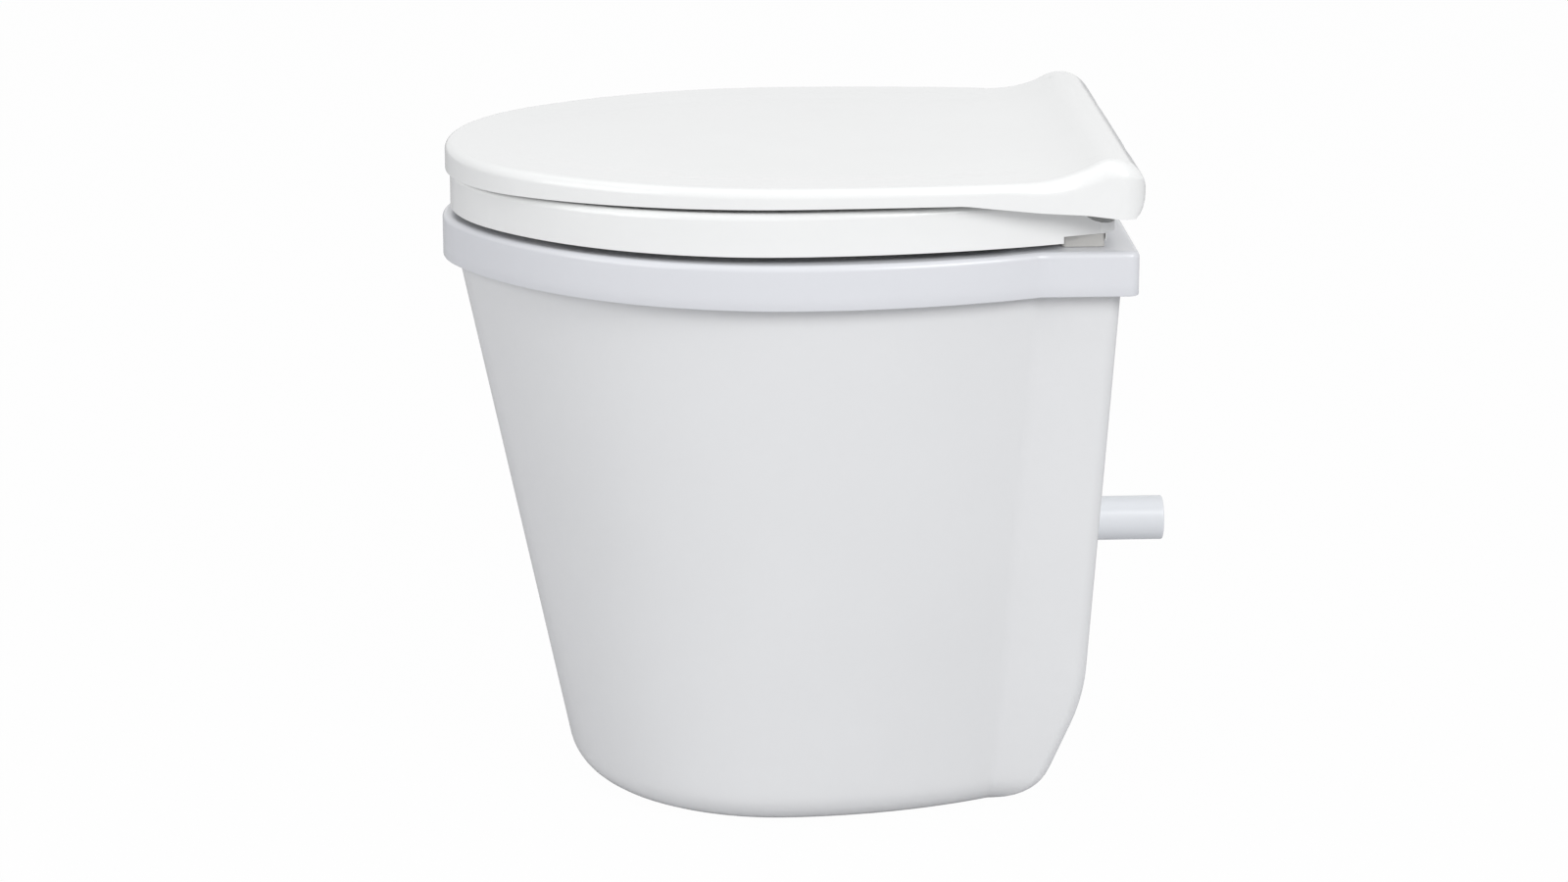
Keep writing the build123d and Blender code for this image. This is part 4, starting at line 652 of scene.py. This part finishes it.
def lid_skin(gap):
    """One skin of the lid from its lower edge to near its middle, as half rings with heights."""
    roll = ROLL_RADIUS - gap
    inset = roll * (1 - np.cos(np.linspace(0.0, QUARTER, ROLL_ROWS)))
    corner = np.maximum(LID_CORNER - gap - inset, 1.0)
    ring = closed_half(flank(LID, inset + gap), HINGE_Y + roll - inset, corner)
    heights = lid_height(ring[..., 1], gap) - edge_drop(ring[..., 1], inset, gap)
    share = np.linspace(0.0, 1.0, SKIRT_ROWS)[:-1, None]
    skirt_z = lid_bottom(ring[0, :, 1]) * (1 - share) + heights[0] * share
    circle = HINGE_Y + np.sqrt(np.maximum(roll**2 - np.minimum(skirt_z - HINGE_Z, 0.0) ** 2, 0.0))
    skirt = np.stack([ring[0, :, 0] + 0.0 * share, np.minimum(ring[0, :, 1], circle)], -1)
    shrink = (1.0 - SHRINK * np.linspace(0.0, 1.0, TOP_ROWS)[1:] ** SHRINK_POWER)[:, None, None]
    top = LID_CENTRE + (ring[-1][None] - LID_CENTRE) * shrink
    hollow = smooth(1.0 - shrink[..., 0], DISH_START, DISH_END) * (1.0 - smooth(top[..., 1], *DISH_REAR))
    top_z = lid_height(top[..., 1], gap) - DISH_DEPTH * hollow
    return np.concatenate([skirt, ring, top]), np.concatenate([skirt_z, heights, top_z])


lid_stack = np.concatenate([rings(*lid_skin(LID_WALL))[::-1], rings(*lid_skin(0.0))])
print("lid rings", lid_stack.shape)

# %% [markdown]
# The roll has a notch over each hinge post, so that the lid can swing right up. On both sides of a notch a plate
# inside the roll carries the pin. Its outline is a half circle below and a box above, written as one radius for
# each angle, and its section is closed round the pin's hole.

# %% Notches, pin plates and the lid
NOTCH_LENGTH = 60.0
NOTCH_SLOPE = np.radians(41.0)
NOTCH_WIDTH = 42.0
NOTCH_STARTS = (-98.5, 56.5)
EAR_RADIUS, EAR_RISE = 9.0, 20.5
EAR_THICKNESS = 8.0
EAR_STARTS = (-106.5, -56.5, 48.5, 98.5)
PIN_HOLE_RADIUS = 4.05
EAR_STEPS = 64
TINY = 1e-6
NOTCH = [
    (HINGE_Y, HINGE_Z),
    (HINGE_Y - ROLL_RADIUS, HINGE_Z),
    (HINGE_Y - ROLL_RADIUS, DECK_TOP),
    (HINGE_Y + NOTCH_LENGTH, DECK_TOP),
    (HINGE_Y + NOTCH_LENGTH * np.cos(NOTCH_SLOPE), HINGE_Z + NOTCH_LENGTH * np.sin(NOTCH_SLOPE)),
]


def prism(x_from, x_to, outline):
    """Closed straight prism along X with a side outline of Y and Z points."""
    outline = np.asarray(outline, float)
    stack = np.empty((2, len(outline), 3))
    stack[..., 0] = np.array([[x_from], [x_to]])
    stack[..., 1:] = outline
    return piece_mesh("prism", stack)


def ear(x_from, x_to):
    """Plate on the pin: round below, straight above, with the pin's hole, as a closed ring section."""
    angle = np.linspace(0.0, 2 * np.pi, EAR_STEPS, endpoint=False)
    across, upward = np.cos(angle), np.sin(angle)
    box = np.minimum(EAR_RADIUS / np.maximum(np.abs(across), TINY), EAR_RISE / np.maximum(upward, TINY))
    outline = np.where(upward > 0.0, box, EAR_RADIUS)
    place = np.array([x_from, x_to, x_to, x_from])[:, None]
    radius = np.stack([outline, outline, 0.0 * outline + PIN_HOLE_RADIUS, 0.0 * outline + PIN_HOLE_RADIUS])
    stack = np.stack([place + 0.0 * radius, HINGE_Y + radius * across, HINGE_Z + radius * upward], -1)
    return piece_mesh("ear", stack, poles=False)


notches = [prism(start, start + NOTCH_WIDTH, NOTCH) for start in NOTCH_STARTS]
ears = [ear(start, start + EAR_THICKNESS) for start in EAR_STARTS]
lid_mesh = join_meshes("lid_shell", [cut(piece_mesh("lid_shell", lid_stack), notches)] + ears)
make_piece("lid_shell", lid_mesh, "lid", "lid", SEAT_WHITE)

# %% [markdown]
# Light: a soft studio. A wide lamp stands above the camera and to its right, a weaker one to its left, at the
# nose's side, and one hangs overhead. A pale world all round fills the shadows. White plastic clips easily, so the
# lamps stay low. The camera and the reflections see a white world, while the object is lit by a weaker one.

# %% World
AMBIENT = 0.42
world = bpy.data.worlds.new("studio")
bpy.context.scene.world = world
world.use_nodes = True
world_tree = world.node_tree
world_tree.nodes.clear()
ray = world_tree.nodes.new("ShaderNodeLightPath")
seen = Wire(world_tree, ray.outputs["Is Camera Ray"])
for name in ("Is Glossy Ray", "Is Transmission Ray"):
    seen = seen.maths("MAXIMUM", seen, Wire(world_tree, ray.outputs[name]))
ambient = seen.node("ShaderNodeBackground", None, Color=(0.96, 0.97, 1.0, 1.0), Strength=AMBIENT)
white = seen.node("ShaderNodeBackground", None, Color=(1.0, 1.0, 1.0, 1.0), Strength=1.0)
both = seen.node("ShaderNodeMixShader", None, i0=seen, i1=ambient, i2=white)
sky = world_tree.nodes.new("ShaderNodeOutputWorld")
world_tree.links.new(both.socket, sky.inputs["Surface"])
print("world", world.name, "strength", AMBIENT)

# %% Lamps
LAMP_TARGET = Vector((0.0, 0.0, 0.3))


def soft_lamp(name, place, size, power):
    """A square area lamp at a place in metres that faces the object."""
    data = bpy.data.lights.new(name, "AREA")
    data.shape = "RECTANGLE"
    data.size = data.size_y = size
    data.energy = power
    lamp = bpy.data.objects.new(name, data)
    aim = LAMP_TARGET - Vector(place)
    lamp.matrix_world = Matrix.Translation(Vector(place)) @ aim.to_track_quat("-Z", "Y").to_matrix().to_4x4()
    bpy.context.scene.collection.objects.link(lamp)


soft_lamp("key", (2.4, 1.5, 2.2), 1.5, 53.0)
soft_lamp("top", (0.0, -0.4, 3.0), 2.4, 15.0)
soft_lamp("fill", (1.8, -2.6, 1.5), 2.0, 31.0)
print("lamps", len(bpy.data.lights))

# %% [markdown]
# The floor is a plain pale plane. For camera rays most of it is a white glow, so that it runs into the white
# background, and the rest is the lit floor, which keeps a faint shadow of the object.

# %% Floor
FLOOR_REACH = 12.0
FLOOR_GLOW = 0.98
FLOOR_CORNERS = [(-1, -1), (1, -1), (1, 1), (-1, 1)]
floor_mesh = bpy.data.meshes.new("floor")
floor_mesh.from_pydata([(x * FLOOR_REACH, y * FLOOR_REACH, 0) for x, y in FLOOR_CORNERS], [], [(0, 1, 2, 3)])
floor = bpy.data.objects.new("floor", floor_mesh)
bpy.context.scene.collection.objects.link(floor)
floor_material = bpy.data.materials.new("floor")
floor_material.use_nodes = True
floor_tree = floor_material.node_tree
floor_shader = floor_tree.nodes["Principled BSDF"]
floor_shader.inputs["Base Color"].default_value = (0.62, 0.62, 0.63, 1.0)
floor_shader.inputs["Roughness"].default_value = 0.6
floor_ray = Wire(floor_tree, floor_tree.nodes.new("ShaderNodeLightPath").outputs["Is Camera Ray"])
glow = floor_ray.node("ShaderNodeEmission", None, Color=(1.0, 1.0, 1.0, 1.0), Strength=1.0)
lit = Wire(floor_tree, floor_shader.outputs[0])
veil = floor_ray.node("ShaderNodeMixShader", None, i0=floor_ray * FLOOR_GLOW, i1=lit, i2=glow)
floor_tree.links.new(veil.socket, floor_tree.nodes["Material Output"].inputs["Surface"])
floor_mesh.materials.append(floor_material)
print("floor", floor.name)
